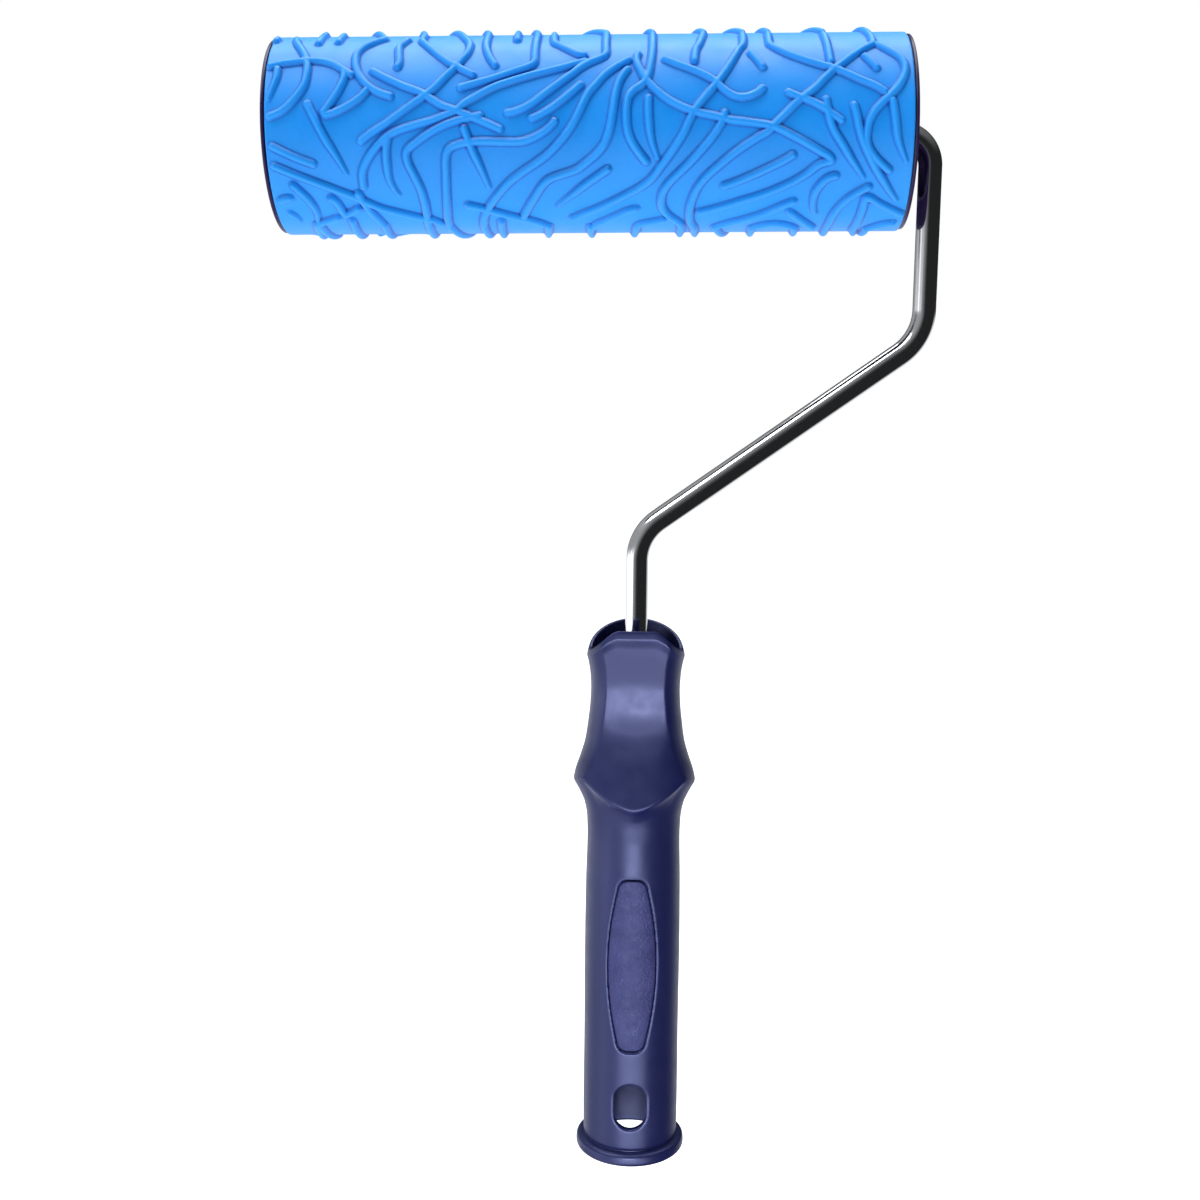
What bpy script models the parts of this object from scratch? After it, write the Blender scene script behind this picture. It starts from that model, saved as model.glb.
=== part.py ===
"""Textured pattern roller: a 7 inch embossed rubber roller on a cranked rod frame
with a hollow moulded handle.

Frame: metres, +Z up along the handle, +X square to it towards the rod's upright, the
handle's front towards -Y. The origin is below the middle of the whole tool, on the plane of
the handle's open end. Heights are measured from that plane.
"""
import math

import bmesh
import bpy
from mathutils import Matrix, Vector

MM = 0.001
GAP = 0.3 * MM                      # clearance between pieces that touch

# Roller
ROLLER_LENGTH = 180.0 * MM          # over both end caps
ROLLER_SHIFT = 14.9 * MM            # the roller's middle lies this far left of the handle
AXLE_HEIGHT = 312.0 * MM            # at the roller's middle
AXLE_TILT = math.radians(0.8)       # the axle rises towards the upright
SLEEVE_RADIUS = 28.9 * MM           # over the crests of the pattern
SLEEVE_WALL = 6.6 * MM
CORE_RADIUS = SLEEVE_RADIUS - SLEEVE_WALL - GAP
CORE_WALL = 1.6 * MM
CAP_RADIUS = 27.0 * MM
CAP_RIM = 1.0 * MM                  # thickness of the rim that covers the sleeve's end
CAP_SPIGOT = 12.0 * MM              # length pressed into the core tube
CAP_WALL = 1.6 * MM
CAP_WEB = 2.0 * MM
CAP_WEB_DEPTH = 9.0 * MM            # outer face of the web, below the rim
CAP_RIBS = 6
CAP_RIB_WIDTH = 1.4 * MM
HUB_RADIUS = 8.0 * MM
HUB_DEPTH = 6.6 * MM                # outer face of the hub, below the rim
HUB_END = 18.0 * MM
BUSH_RADIUS = 5.4 * MM
BUSH_FLANGE_RADIUS = 7.4 * MM
BUSH_FLANGE = 1.2 * MM
BUSH_LENGTH = 11.0 * MM

# Rod frame
ROD_RADIUS = 3.4 * MM
UPRIGHT_REACH = 83.0 * MM           # from the handle's axis to the upright
UPRIGHT_FOOT = 255.0 * MM           # height where the upright meets the diagonal
NECK_TOP = 196.0 * MM               # height where the diagonal meets the neck
ROD_FOOT = 116.0 * MM               # the rod's end inside the handle
AXLE_BEND = 9.3 * MM
SHOULDER_BEND = 16.0 * MM
NECK_BEND = 15.0 * MM
BEND_STEPS = 8
ROD_END_MARGIN = 0.8 * MM           # the axle's tip stops this far inside the left cap
WASHER_RADIUS = 6.4 * MM
WASHER_THICKNESS = 1.0 * MM
COLLAR_RADIUS = 5.2 * MM
COLLAR_LENGTH = 1.5 * MM
NUT_RADIUS = 5.8 * MM
NUT_THICKNESS = 0.6 * MM
NUT_CROWN = 1.2 * MM

# Handle
BORE_RADIUS = ROD_RADIUS + 0.4 * MM
BORE_FOOT = 115.0 * MM
SOCKET_MOUTH = 12.7 * MM
SOCKET_THROAT = 11.4 * MM
SOCKET_STEP = 31.0 * MM             # the socket narrows above the hang slot
SOCKET_TOP = 104.0 * MM
SLOT_WIDTH = 11.2 * MM
SLOT_BOTTOM = 11.3 * MM
SLOT_TOP = 26.2 * MM
PANEL_BOTTOM = 36.9 * MM
PANEL_TOP = 92.3 * MM
PANEL_HALF_WIDTH = 7.6 * MM
PANEL_END_HALF_WIDTH = 4.6 * MM
PANEL_CORNER = 3.4 * MM
PANEL_FLOOR_RADIUS = 13.2 * MM
PAD_FACE_RADIUS = 14.45 * MM
CUTTER_REACH = 24.0 * MM            # how far cutters run past the handle

ROUND_STEPS = 64
SMALL_STEPS = 32
ROD_RESOLUTION = 6

# Everything in x is set from the tool's two outermost points, so that the origin is
# midway between them.
HANDLE_X = (ROLLER_LENGTH / 2 + ROLLER_SHIFT - UPRIGHT_REACH - ROD_RADIUS) / 2
ROLLER_X = HANDLE_X - ROLLER_SHIFT

# Sections of the handle, bottom to top. A round one is (radius, height).
GRIP_SECTIONS = (
    (16.3, 0.0), (17.0, 1.0), (17.0, 2.7), (16.2, 3.7), (14.75, 4.3),
    (14.9, 16.0), (14.8, 40.0), (14.85, 64.0), (14.65, 88.0), (14.3, 103.0),
)
# A shaped one names four points of its outline: the front (depth, height), the corner of
# the front facet (half width, depth, height), the side (half width, height) and the
# rear (depth, height), and then the share of the facet's top edge that is level.
GUARD_SECTIONS = (
    ((14.5, 106.5), (10.3, 10.3, 108.5), (14.5, 108.5), (14.5, 108.0), 0.0),
    ((15.3, 110.2), (11.0, 10.9, 114.0), (15.3, 113.2), (15.3, 112.6), 0.0),
    ((16.8, 113.0), (12.9, 11.4, 119.0), (16.9, 117.0), (16.8, 116.2), 0.0),
    ((19.0, 115.2), (15.4, 12.0, 123.0), (18.8, 120.5), (18.6, 119.5), 0.0),
    ((17.6, 118.8), (14.0, 11.6, 126.2), (18.1, 123.6), (18.0, 122.8), 0.0),
    ((15.5, 124.3), (12.4, 11.0, 130.2), (16.6, 128.0), (16.5, 127.5), 0.0),
    ((13.2, 130.8), (11.1, 10.6, 135.0), (15.2, 133.0), (15.2, 133.0), 0.0),
    ((11.4, 137.4), (10.1, 10.3, 139.8), (14.4, 138.5), (14.3, 138.5), 0.0),
    ((10.4, 144.4), (9.4, 10.1, 144.8), (13.8, 144.0), (13.6, 144.0), 0.1),
    ((10.3, 150.4), (9.0, 10.2, 150.0), (13.6, 148.8), (13.4, 149.5), 0.2),
    ((11.1, 156.8), (9.1, 11.0, 156.0), (13.8, 153.2), (13.5, 155.5), 0.35),
    ((12.5, 163.0), (9.7, 12.3, 161.2), (14.4, 157.2), (13.8, 162.0), 0.5),
    ((13.5, 166.4), (10.1, 13.2, 163.8), (14.7, 159.4), (14.0, 166.0), 0.55),
    ((13.9, 168.8), (10.1, 13.6, 165.9), (14.4, 161.0), (14.0, 168.2), 0.55),
)
# The dished recess in the handle's top: front, corner, side and rear at three heights.
RECESS_SECTIONS = (
    ((7.6, 154.0), (6.2, 6.4, 154.0), (9.8, 154.0), (9.6, 154.0), 0.0),
    ((9.6, 156.5), (7.6, 9.0, 156.5), (12.2, 156.5), (11.7, 156.5), 0.0),
    ((12.2, 165.0), (8.8, 11.8, 165.0), (13.1, 165.0), (12.6, 165.0), 0.0),
    ((12.8, 172.0), (8.9, 12.4, 172.0), (13.2, 172.0), (12.7, 172.0), 0.0),
)
FACET_STEPS = 6
FLANK_STEPS = 6
REAR_STEPS = 9
GUARD_CURVE = 1.25                  # above 1, the guard's V is rounded at its point

COLOURS = {
    "rubber_azure": ((0.035, 0.28, 0.86), 0.45, 0.0),
    "plastic_navy": ((0.028, 0.03, 0.15), 0.38, 0.0),
    "pad_navy": ((0.045, 0.045, 0.19), 0.75, 0.0),
    "cap_navy": ((0.03, 0.018, 0.1), 0.4, 0.0),
    "tube_white": ((0.72, 0.72, 0.7), 0.5, 0.0),
    "bush_white": ((0.85, 0.84, 0.8), 0.4, 0.0),
    "chrome": ((0.82, 0.83, 0.85), 0.08, 1.0),
    "zinc_steel": ((0.6, 0.6, 0.62), 0.3, 1.0),
}


def clear_scene():
    for old in list(bpy.data.objects):
        bpy.data.objects.remove(old, do_unlink=True)


def new_collection(name):
    made = bpy.data.collections.new(name)
    bpy.context.scene.collection.children.link(made)
    return made


clear_scene()
PARTS = new_collection("textured_pattern_roller")
CUTTERS = new_collection("cutters")


def material(name):
    if name in bpy.data.materials:
        return bpy.data.materials[name]
    colour, roughness, metallic = COLOURS[name]
    made = bpy.data.materials.new(name)
    made.use_nodes = True
    shader = made.node_tree.nodes["Principled BSDF"]
    shader.inputs["Base Color"].default_value = (*colour, 1.0)
    shader.inputs["Roughness"].default_value = roughness
    shader.inputs["Metallic"].default_value = metallic
    return made


def add_part(name, mesh, finish, parent):
    piece = bpy.data.objects.new(name, mesh)
    PARTS.objects.link(piece)
    mesh.materials.append(material(finish))
    piece.parent = parent
    return piece


def add_cutter(name, mesh, parent):
    tool = bpy.data.objects.new(name, mesh)
    CUTTERS.objects.link(tool)
    tool.hide_render = True
    tool.display_type = "WIRE"
    tool.parent = parent
    return tool


def add_empty(name, location):
    empty = bpy.data.objects.new(name, None)
    empty.empty_display_size = 0.02
    empty.location = location
    PARTS.objects.link(empty)
    return empty


def boolean(piece, tool, operation):
    cut = piece.modifiers.new(f"{operation.lower()}_{tool.name}", "BOOLEAN")
    cut.operation = operation
    cut.solver = "EXACT"
    cut.object = tool


def profile_mesh(name, points, closed):
    """A line of (radius, height) points in the XZ plane, to be turned by a Screw."""
    mesh = bpy.data.meshes.new(name)
    count = len(points)
    edges = [(i, i + 1) for i in range(count - 1)]
    if closed:
        edges.append((count - 1, 0))
    mesh.from_pydata([(radius, 0.0, height) for radius, height in points], edges, [])
    return mesh


def turn(piece, steps):
    """Turns the piece's profile about its own Z."""
    screw = piece.modifiers.new("turn", "SCREW")
    screw.axis = "Z"
    screw.angle = 2 * math.pi
    screw.steps = steps
    screw.render_steps = steps
    screw.use_merge_vertices = True
    screw.merge_threshold = 0.00001
    screw.use_smooth_shade = True


def ring_profile(inner, outer, low, high):
    """A washer's section, down its outer side first."""
    return [(outer, high), (outer, low), (inner, low), (inner, high)]


def loft_mesh(name, rings):
    """A closed skin over rings that run anticlockwise seen from above, lowest first."""
    mesh = bpy.data.meshes.new(name)
    shape = bmesh.new()
    loops = [[shape.verts.new(point) for point in ring] for ring in rings]
    count = len(loops[0])
    for lower, upper in zip(loops, loops[1:]):
        for i in range(count):
            j = (i + 1) % count
            shape.faces.new((lower[i], lower[j], upper[j], upper[i]))
    for loop, away in ((loops[0], -1), (loops[-1], 1)):
        centre = sum((v.co for v in loop), Vector()) / count
        hub = shape.verts.new((centre.x, centre.y, centre.z))
        for i in range(count):
            edge = (loop[i], loop[(i + 1) % count])
            shape.faces.new((hub, *edge) if away > 0 else (hub, *reversed(edge)))
    shape.to_mesh(mesh)
    shape.free()
    mesh.shade_smooth()
    mesh.set_sharp_from_angle(angle=math.radians(30))
    return mesh


def box_mesh(name, size, centre):
    mesh = bpy.data.meshes.new(name)
    shape = bmesh.new()
    place = Matrix.Translation(centre) @ Matrix.Diagonal((*size, 1.0))
    bmesh.ops.create_cube(shape, size=1.0, matrix=place)
    shape.to_mesh(mesh)
    shape.free()
    return mesh


def rod_mesh_from_curve(name, points, radius, resolution):
    """A round bar along the points, as a mesh with welded end caps."""
    path = bpy.data.curves.new(name, "CURVE")
    path.dimensions = "3D"
    path.bevel_depth = radius
    path.bevel_resolution = resolution
    path.use_fill_caps = True
    line = path.splines.new("POLY")
    line.points.add(len(points) - 1)
    for knot, point in zip(line.points, points):
        knot.co = (*point, 1.0)
    return curve_to_mesh(name, path)


def prism_mesh(name, outline, reach):
    """A flat outline of (x, z) points made solid from -reach to +reach along Y."""
    flat = bpy.data.curves.new(name, "CURVE")
    flat.dimensions = "2D"
    flat.fill_mode = "BOTH"
    flat.extrude = reach
    line = flat.splines.new("POLY")
    line.use_cyclic_u = True
    line.points.add(len(outline) - 1)
    for knot, (x, z) in zip(line.points, outline):
        knot.co = (x, z, 0.0, 1.0)
    mesh = curve_to_mesh(name, flat)
    mesh.transform(Matrix.Rotation(math.radians(90), 4, "X"))
    return mesh


def curve_to_mesh(name, curve):
    holder = bpy.data.objects.new(name, curve)
    bpy.context.scene.collection.objects.link(holder)
    evaluated = holder.evaluated_get(bpy.context.evaluated_depsgraph_get())
    mesh = bpy.data.meshes.new_from_object(evaluated)
    bpy.data.objects.remove(holder, do_unlink=True)
    bpy.data.curves.remove(curve)
    mesh.name = name
    shape = bmesh.new()
    shape.from_mesh(mesh)
    bmesh.ops.remove_doubles(shape, verts=shape.verts, dist=0.000005)
    bmesh.ops.recalc_face_normals(shape, faces=shape.faces)
    shape.to_mesh(mesh)
    shape.free()
    mesh.shade_smooth()
    mesh.set_sharp_from_angle(angle=math.radians(40))
    return mesh


# ---------------------------------------------------------------- handle

def round_section(radius, height):
    """A circle, written as the four named points of a shaped section."""
    corner = radius * math.sqrt(0.5)
    return ((radius, height), (corner, corner, height), (radius, height), (radius, height), 0.0)


def section_half(section):
    """Points of one section from the front's middle round its +X side to the rear."""
    (front, front_z), (corner_x, corner_y, corner_z), (side, side_z), (rear, rear_z), level = section
    points = []
    for i in range(FACET_STEPS):
        share = i / FACET_STEPS
        depth = math.sqrt(front ** 2 - (front ** 2 - corner_y ** 2) * share ** 2)
        drop = max(0.0, (share - level) / (1.0 - level)) ** GUARD_CURVE
        points.append((corner_x * share, -depth, front_z + (corner_z - front_z) * drop))
    start = math.asin(corner_x / side)
    flank = corner_y / math.cos(start)
    for i in range(FLANK_STEPS):
        angle = start + (math.pi / 2 - start) * i / FLANK_STEPS
        x = side * math.sin(angle)
        share = (x - corner_x) / (side - corner_x)
        points.append((x, -flank * math.cos(angle), corner_z + (side_z - corner_z) * share))
    for i in range(REAR_STEPS + 1):
        angle = math.pi / 2 * i / REAR_STEPS
        lift = (rear_z - side_z) * math.sin(angle)
        points.append((side * math.cos(angle), rear * math.sin(angle), side_z + lift))
    points[-1] = (0.0, rear, rear_z)
    return points


def section_ring(section):
    half = section_half(section)
    mirrored = [(-x, y, z) for x, y, z in reversed(half[1:-1])]
    return [Vector(point) * MM for point in half + mirrored]


def socket_profile():
    """The open bore of the handle's lower end, from its rim to its closed top."""
    lead_in = 1.0 * MM
    return [
        (0.0, SOCKET_TOP), (4.0 * MM, SOCKET_TOP), (SOCKET_THROAT, SOCKET_TOP - 6.0 * MM),
        (SOCKET_THROAT, SOCKET_STEP), (SOCKET_MOUTH, SOCKET_STEP - 3.0 * MM),
        (SOCKET_MOUTH, lead_in), (SOCKET_MOUTH + 2 * lead_in, -lead_in), (0.0, -lead_in),
    ]


def slot_outline():
    """The hang slot: two straight sides and two half circles."""
    radius = SLOT_WIDTH / 2
    steps = 10
    points = []
    for centre, start in ((SLOT_TOP - radius, 0.0), (SLOT_BOTTOM + radius, math.pi)):
        for i in range(steps + 1):
            angle = start + math.pi * i / steps
            points.append((radius * math.cos(angle), centre + radius * math.sin(angle)))
    return points


def panel_outline(inset):
    """The grip panel: bowed sides and blunt ends with rounded corners, less the inset."""
    middle = (PANEL_TOP + PANEL_BOTTOM) / 2
    half_height = (PANEL_TOP - PANEL_BOTTOM) / 2 - inset
    corner = PANEL_CORNER - inset
    side_steps = 6
    corner_steps = 5
    quarter = []
    shoulder = half_height - corner
    end_width = PANEL_END_HALF_WIDTH - inset
    bow = PANEL_HALF_WIDTH - PANEL_END_HALF_WIDTH
    for i in range(side_steps + 1):
        share = i / side_steps
        quarter.append((end_width + bow * (1 - share ** 2), shoulder * share))
    for i in range(1, corner_steps + 1):
        angle = math.pi / 2 * i / corner_steps
        across = end_width - corner + corner * math.cos(angle)
        quarter.append((across, shoulder + corner * math.sin(angle)))
    upper = quarter + [(-x, z) for x, z in reversed(quarter)]
    lower = [(x, -z) for x, z in reversed(upper)][1:-1]
    return [(x, middle + z) for x, z in upper + lower]


def panel_prism(name, inset, facing):
    """A prism of the panel's outline, from the grip's axis outwards on one face."""
    prism = prism_mesh(name, panel_outline(inset), CUTTER_REACH / 2)
    prism.transform(Matrix.Translation((0.0, facing * CUTTER_REACH / 2, 0.0)))
    return prism


def keep_between(body, inner, outer, parent):
    """Keeps only what lies between two radii of the grip."""
    shell = ring_profile(inner, outer, PANEL_BOTTOM - CUTTER_REACH / 2, PANEL_TOP + CUTTER_REACH / 2)
    name = f"{body.name}_limit"
    limit = add_cutter(name, profile_mesh(name, shell, True), parent)
    turn(limit, ROUND_STEPS)
    boolean(body, limit, "INTERSECT")


def make_handle(handle):
    rings = [section_ring(round_section(radius, height)) for radius, height in GRIP_SECTIONS]
    rings += [section_ring(section) for section in GUARD_SECTIONS]
    body = add_part("handle_body", loft_mesh("handle_body", rings), "plastic_navy", handle)

    socket = add_cutter("socket_cutter", profile_mesh("socket", socket_profile(), False), handle)
    turn(socket, ROUND_STEPS)
    recess = loft_mesh("recess", [section_ring(section) for section in RECESS_SECTIONS])
    recess_tool = add_cutter("recess_cutter", recess, handle)
    bore = [(0.0, AXLE_HEIGHT / 2 + CUTTER_REACH), (BORE_RADIUS, AXLE_HEIGHT / 2 + CUTTER_REACH),
            (BORE_RADIUS, BORE_FOOT), (0.0, BORE_FOOT)]
    bore_tool = add_cutter("bore_cutter", profile_mesh("bore", bore, False), handle)
    turn(bore_tool, SMALL_STEPS)
    slot = prism_mesh("slot", slot_outline(), CUTTER_REACH)
    slot_tool = add_cutter("slot_cutter", slot, handle)
    for tool in (socket, recess_tool, bore_tool, slot_tool):
        boolean(body, tool, "DIFFERENCE")

    for side, facing in (("front", -1), ("back", 1)):
        name = f"panel_pocket_{side}"
        pocket = add_cutter(name, panel_prism(name, 0.0, facing), handle)
        keep_between(pocket, PANEL_FLOOR_RADIUS, CUTTER_REACH, handle)
        boolean(body, pocket, "DIFFERENCE")
        name = f"grip_pad_{side}"
        pad = add_part(name, panel_prism(name, GAP, facing), "pad_navy", handle)
        keep_between(pad, PANEL_FLOOR_RADIUS + GAP, PAD_FACE_RADIUS, handle)


# ---------------------------------------------------------------- rod frame

def rounded_path(corners, bends):
    """A line through the corners, each inner corner replaced by an arc of its radius."""
    points = [corners[0]]
    for before, corner, after, radius in zip(corners, corners[1:], corners[2:], bends):
        back = (before - corner).normalized()
        ahead = (after - corner).normalized()
        half = back.angle(ahead) / 2
        start = corner + back * (radius / math.tan(half))
        centre = corner + (back + ahead).normalized() * (radius / math.sin(half))
        sweep = math.pi - 2 * half
        axis = back.cross(ahead)
        for i in range(BEND_STEPS + 1):
            turned = Matrix.Rotation(-sweep * i / BEND_STEPS, 3, axis) @ (start - centre)
            points.append(centre + turned)
    points.append(corners[-1])
    return points


def on_axle(reach):
    """A point on the axle that lies so far right of the handle."""
    rise = (reach + ROLLER_SHIFT) * math.tan(AXLE_TILT)
    return Vector((reach, 0.0, AXLE_HEIGHT + rise))


def make_frame_rod(handle):
    tip = (ROD_END_MARGIN - ROLLER_LENGTH / 2) * math.cos(AXLE_TILT) - ROLLER_SHIFT
    corners = [
        on_axle(tip), on_axle(UPRIGHT_REACH),
        Vector((UPRIGHT_REACH, 0.0, UPRIGHT_FOOT)), Vector((0.0, 0.0, NECK_TOP)),
        Vector((0.0, 0.0, ROD_FOOT)),
    ]
    path = rounded_path(corners, (AXLE_BEND, SHOULDER_BEND, NECK_BEND))
    mesh = rod_mesh_from_curve("frame_rod", path, ROD_RADIUS, ROD_RESOLUTION)
    add_part("frame_rod", mesh, "chrome", handle)


def make_axle_hardware(axle, direction):
    """The pieces on the rod at one end of the roller. Each lies along the axle's Z, and
    depth is measured inwards from the cap's rim. direction is 1 at the right end."""
    washer_depth = HUB_DEPTH - GAP - BUSH_FLANGE - GAP
    washer = ring_profile(BORE_RADIUS, WASHER_RADIUS, 0.0, WASHER_THICKNESS)
    side = "inner" if direction > 0 else "outer"
    place_on_axle(f"thrust_washer_{side}", washer, "zinc_steel", axle, direction, washer_depth)
    keeper_depth = washer_depth - WASHER_THICKNESS - GAP
    if direction > 0:
        collar = ring_profile(ROD_RADIUS + GAP, COLLAR_RADIUS, 0.0, COLLAR_LENGTH)
        place_on_axle("stop_collar", collar, "zinc_steel", axle, direction, keeper_depth)
    else:
        crown = ROD_RADIUS + GAP
        nut = [(crown, NUT_CROWN + NUT_THICKNESS), (NUT_RADIUS, NUT_THICKNESS),
               (NUT_RADIUS, 0.0), (crown, NUT_CROWN)]
        place_on_axle("push_nut", nut, "zinc_steel", axle, direction, keeper_depth)


def place_on_axle(name, profile, finish, parent, direction, depth, steps=SMALL_STEPS):
    """Turns a profile whose heights run outwards from a depth below the cap's rim."""
    piece = add_part(name, profile_mesh(name, profile, True), finish, parent)
    turn(piece, steps)
    piece.location = (0.0, 0.0, direction * (ROLLER_LENGTH / 2 - depth))
    if direction < 0:
        piece.rotation_euler = (math.pi, 0.0, 0.0)
    return piece


# ---------------------------------------------------------------- roller

def make_sleeve_and_core(roller):
    half = ROLLER_LENGTH / 2 - CAP_RIM - GAP
    for name, outer, wall, finish in (
        ("texture_sleeve", SLEEVE_RADIUS, SLEEVE_WALL, "rubber_azure"),
        ("core_tube", CORE_RADIUS, CORE_WALL, "tube_white"),
    ):
        profile = ring_profile(outer - wall, outer, -half, half)
        piece = add_part(name, profile_mesh(name, profile, True), finish, roller)
        turn(piece, ROUND_STEPS)


def cap_profile():
    """One end cap: a rim over the sleeve's end, a spigot, a sunk web and a hub."""
    spigot = CORE_RADIUS - CORE_WALL - GAP
    inside = spigot - CAP_WALL
    web = -CAP_WEB_DEPTH
    bore = BUSH_RADIUS + GAP
    return [
        (inside, 0.0), (CAP_RADIUS - 0.4 * MM, 0.0), (CAP_RADIUS, -0.4 * MM),
        (CAP_RADIUS, -CAP_RIM), (spigot, -CAP_RIM), (spigot, -CAP_SPIGOT),
        (inside, -CAP_SPIGOT), (inside, web - CAP_WEB), (HUB_RADIUS, web - CAP_WEB),
        (HUB_RADIUS, -HUB_END), (bore, -HUB_END), (bore, -HUB_DEPTH),
        (HUB_RADIUS, -HUB_DEPTH), (HUB_RADIUS, web), (inside, web),
    ]


def make_cap(side, direction, roller):
    name = f"end_cap_{side}"
    cap = place_on_axle(name, cap_profile(), "cap_navy", roller, direction, 0.0, ROUND_STEPS)
    inside = CORE_RADIUS - CORE_WALL - GAP - CAP_WALL
    overlap = 0.5 * MM
    length = inside - HUB_RADIUS + 2 * overlap
    height = CAP_WEB_DEPTH - HUB_DEPTH + overlap
    for i in range(CAP_RIBS):
        centre = ((inside + HUB_RADIUS) / 2, 0.0, -CAP_WEB_DEPTH + height / 2 - overlap)
        mesh = box_mesh(f"{name}_rib_{i}", (length, CAP_RIB_WIDTH, height), centre)
        rib = add_cutter(f"{name}_rib_{i}", mesh, cap)
        rib.rotation_euler = (0.0, 0.0, 2 * math.pi * i / CAP_RIBS)
        boolean(cap, rib, "UNION")


def make_bush(side, direction, roller):
    """A flanged nylon bush: the flange bears on the hub, the barrel is pressed into it."""
    bore = BORE_RADIUS
    profile = [
        (bore, BUSH_FLANGE), (BUSH_FLANGE_RADIUS, BUSH_FLANGE), (BUSH_FLANGE_RADIUS, 0.0),
        (BUSH_RADIUS, 0.0), (BUSH_RADIUS, -BUSH_LENGTH), (bore, -BUSH_LENGTH),
    ]
    place_on_axle(f"bearing_bush_{side}", profile, "bush_white", roller, direction,
                  HUB_DEPTH - GAP)


def make_tool():
    handle = add_empty("handle_axis", (HANDLE_X, 0.0, 0.0))
    axle = add_empty("axle_axis", (ROLLER_X, 0.0, AXLE_HEIGHT))
    axle.rotation_euler = (0.0, math.pi / 2 - AXLE_TILT, 0.0)
    roller = add_empty("roller_axis", (0.0, 0.0, 0.0))
    roller.parent = axle

    make_handle(handle)
    make_frame_rod(handle)
    make_sleeve_and_core(roller)
    for side, direction in (("right", 1), ("left", -1)):
        make_axle_hardware(axle, direction)
        make_cap(side, direction, roller)
        make_bush(side, direction, roller)


make_tool()
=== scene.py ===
"""Looks of the textured pattern roller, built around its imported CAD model.

Axes are the CAD frame's: +X towards the rod's upright, -Y towards the handle's faceted
front, +Z up the handle. Lengths are in millimetres until a mesh is made, and angles round
the roller are in degrees from the front, upwards.
"""
import math

import bmesh
import bpy
import numpy as np
from mathutils import Matrix, Vector


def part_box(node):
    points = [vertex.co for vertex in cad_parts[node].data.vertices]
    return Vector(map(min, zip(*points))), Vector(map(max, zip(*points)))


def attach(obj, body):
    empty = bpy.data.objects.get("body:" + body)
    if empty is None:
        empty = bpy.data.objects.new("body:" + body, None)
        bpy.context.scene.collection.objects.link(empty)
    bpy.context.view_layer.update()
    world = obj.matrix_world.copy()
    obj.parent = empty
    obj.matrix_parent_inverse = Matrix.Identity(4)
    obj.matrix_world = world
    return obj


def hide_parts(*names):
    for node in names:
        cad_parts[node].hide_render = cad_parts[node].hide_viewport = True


MM = 0.001

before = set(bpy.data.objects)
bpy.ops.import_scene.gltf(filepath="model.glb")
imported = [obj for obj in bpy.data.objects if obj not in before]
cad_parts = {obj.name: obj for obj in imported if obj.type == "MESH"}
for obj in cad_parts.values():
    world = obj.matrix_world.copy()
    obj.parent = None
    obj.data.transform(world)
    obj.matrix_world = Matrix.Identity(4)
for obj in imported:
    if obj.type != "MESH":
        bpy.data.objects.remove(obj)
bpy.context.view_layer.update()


def node_box(node):
    low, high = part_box(node)
    return np.array(low) / MM, np.array(high) / MM


# ------------------------------------------------------------ places read from the CAD model
HANDLE_X = float(sum(node_box("handle_body"))[0] / 2)
AXLE_TILT = math.radians(0.8)       # the axle rises towards the upright
SLEEVE_LOW, SLEEVE_HIGH = node_box("texture_sleeve")
CREST_RADIUS = float(SLEEVE_HIGH[1] - SLEEVE_LOW[1]) / 2
SLEEVE_SPAN = float(SLEEVE_HIGH[0] - SLEEVE_LOW[0]) - 2 * CREST_RADIUS * math.sin(AXLE_TILT)
SLEEVE_LENGTH = SLEEVE_SPAN / math.cos(AXLE_TILT)
ROLLER_X = float(SLEEVE_LOW[0] + SLEEVE_HIGH[0]) / 2
AXLE_Z = float(SLEEVE_LOW[2] + SLEEVE_HIGH[2]) / 2
CAP_LOW, CAP_HIGH = node_box("end_cap_right")
CAP_RADIUS = float(CAP_HIGH[1] - CAP_LOW[1]) / 2
ROLLER_HALF = ((float(CAP_HIGH[0]) - ROLLER_X - CAP_RADIUS * math.sin(AXLE_TILT))
               / math.cos(AXLE_TILT))
CORE_LOW, CORE_HIGH = node_box("core_tube")
CORE_RADIUS = float(CORE_HIGH[1] - CORE_LOW[1]) / 2
ROD_LOW, ROD_HIGH = node_box("frame_rod")
ROD_RADIUS = float(ROD_HIGH[1] - ROD_LOW[1]) / 2

# ------------------------------------------------------------ sizes
RIDGE_RISE = 1.4            # height of a ridge over the sleeve's ground
RIDGE_HALF = 1.12           # half its width
RIDGE_SHAPE = 0.52          # below 1, the ridge's flanks are steep
RIDGE_JOIN = 0.3            # how softly crossing ridges run together
END_TRIM = 0.8              # share of that width which a ridge's round end reaches
TAPER_LENGTH = 9.0
TAPER_END = 0.55            # what is left of a tapered ridge's size at its tip
GROUND_RADIUS = CREST_RADIUS - RIDGE_RISE
SLEEVE_INSIDE = CORE_RADIUS + 0.3
SLEEVE_EDGE = 0.5           # rounding of the sleeve's ends
ROOT_BLUR = 0.16            # softens the foot of a ridge
CREASE_SHADE_BLUR = 0.42          # reach of the painted shade beside a ridge
CELL = 0.15  # of the relief; the mesh has a point at every second one
SKIN_STEP = 1.0      # factor on the spacing of the handle's sections
READ_RADIUS = 26.6          # radius at which the ridges' angles below are read
READ_TOP, READ_BOTTOM = 79.0, -86.0     # degrees where that reading ends
READ_DEPTH = 0.2            # how far below the crests the ridges' middle lines are seen
UPPER_DROP = 0.8            # degrees that the upper ridges lie lower than they are read
UPPER_FROM, UPPER_FADE = 20.0, 10.0     # where that starts, and how far up it is in full

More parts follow.
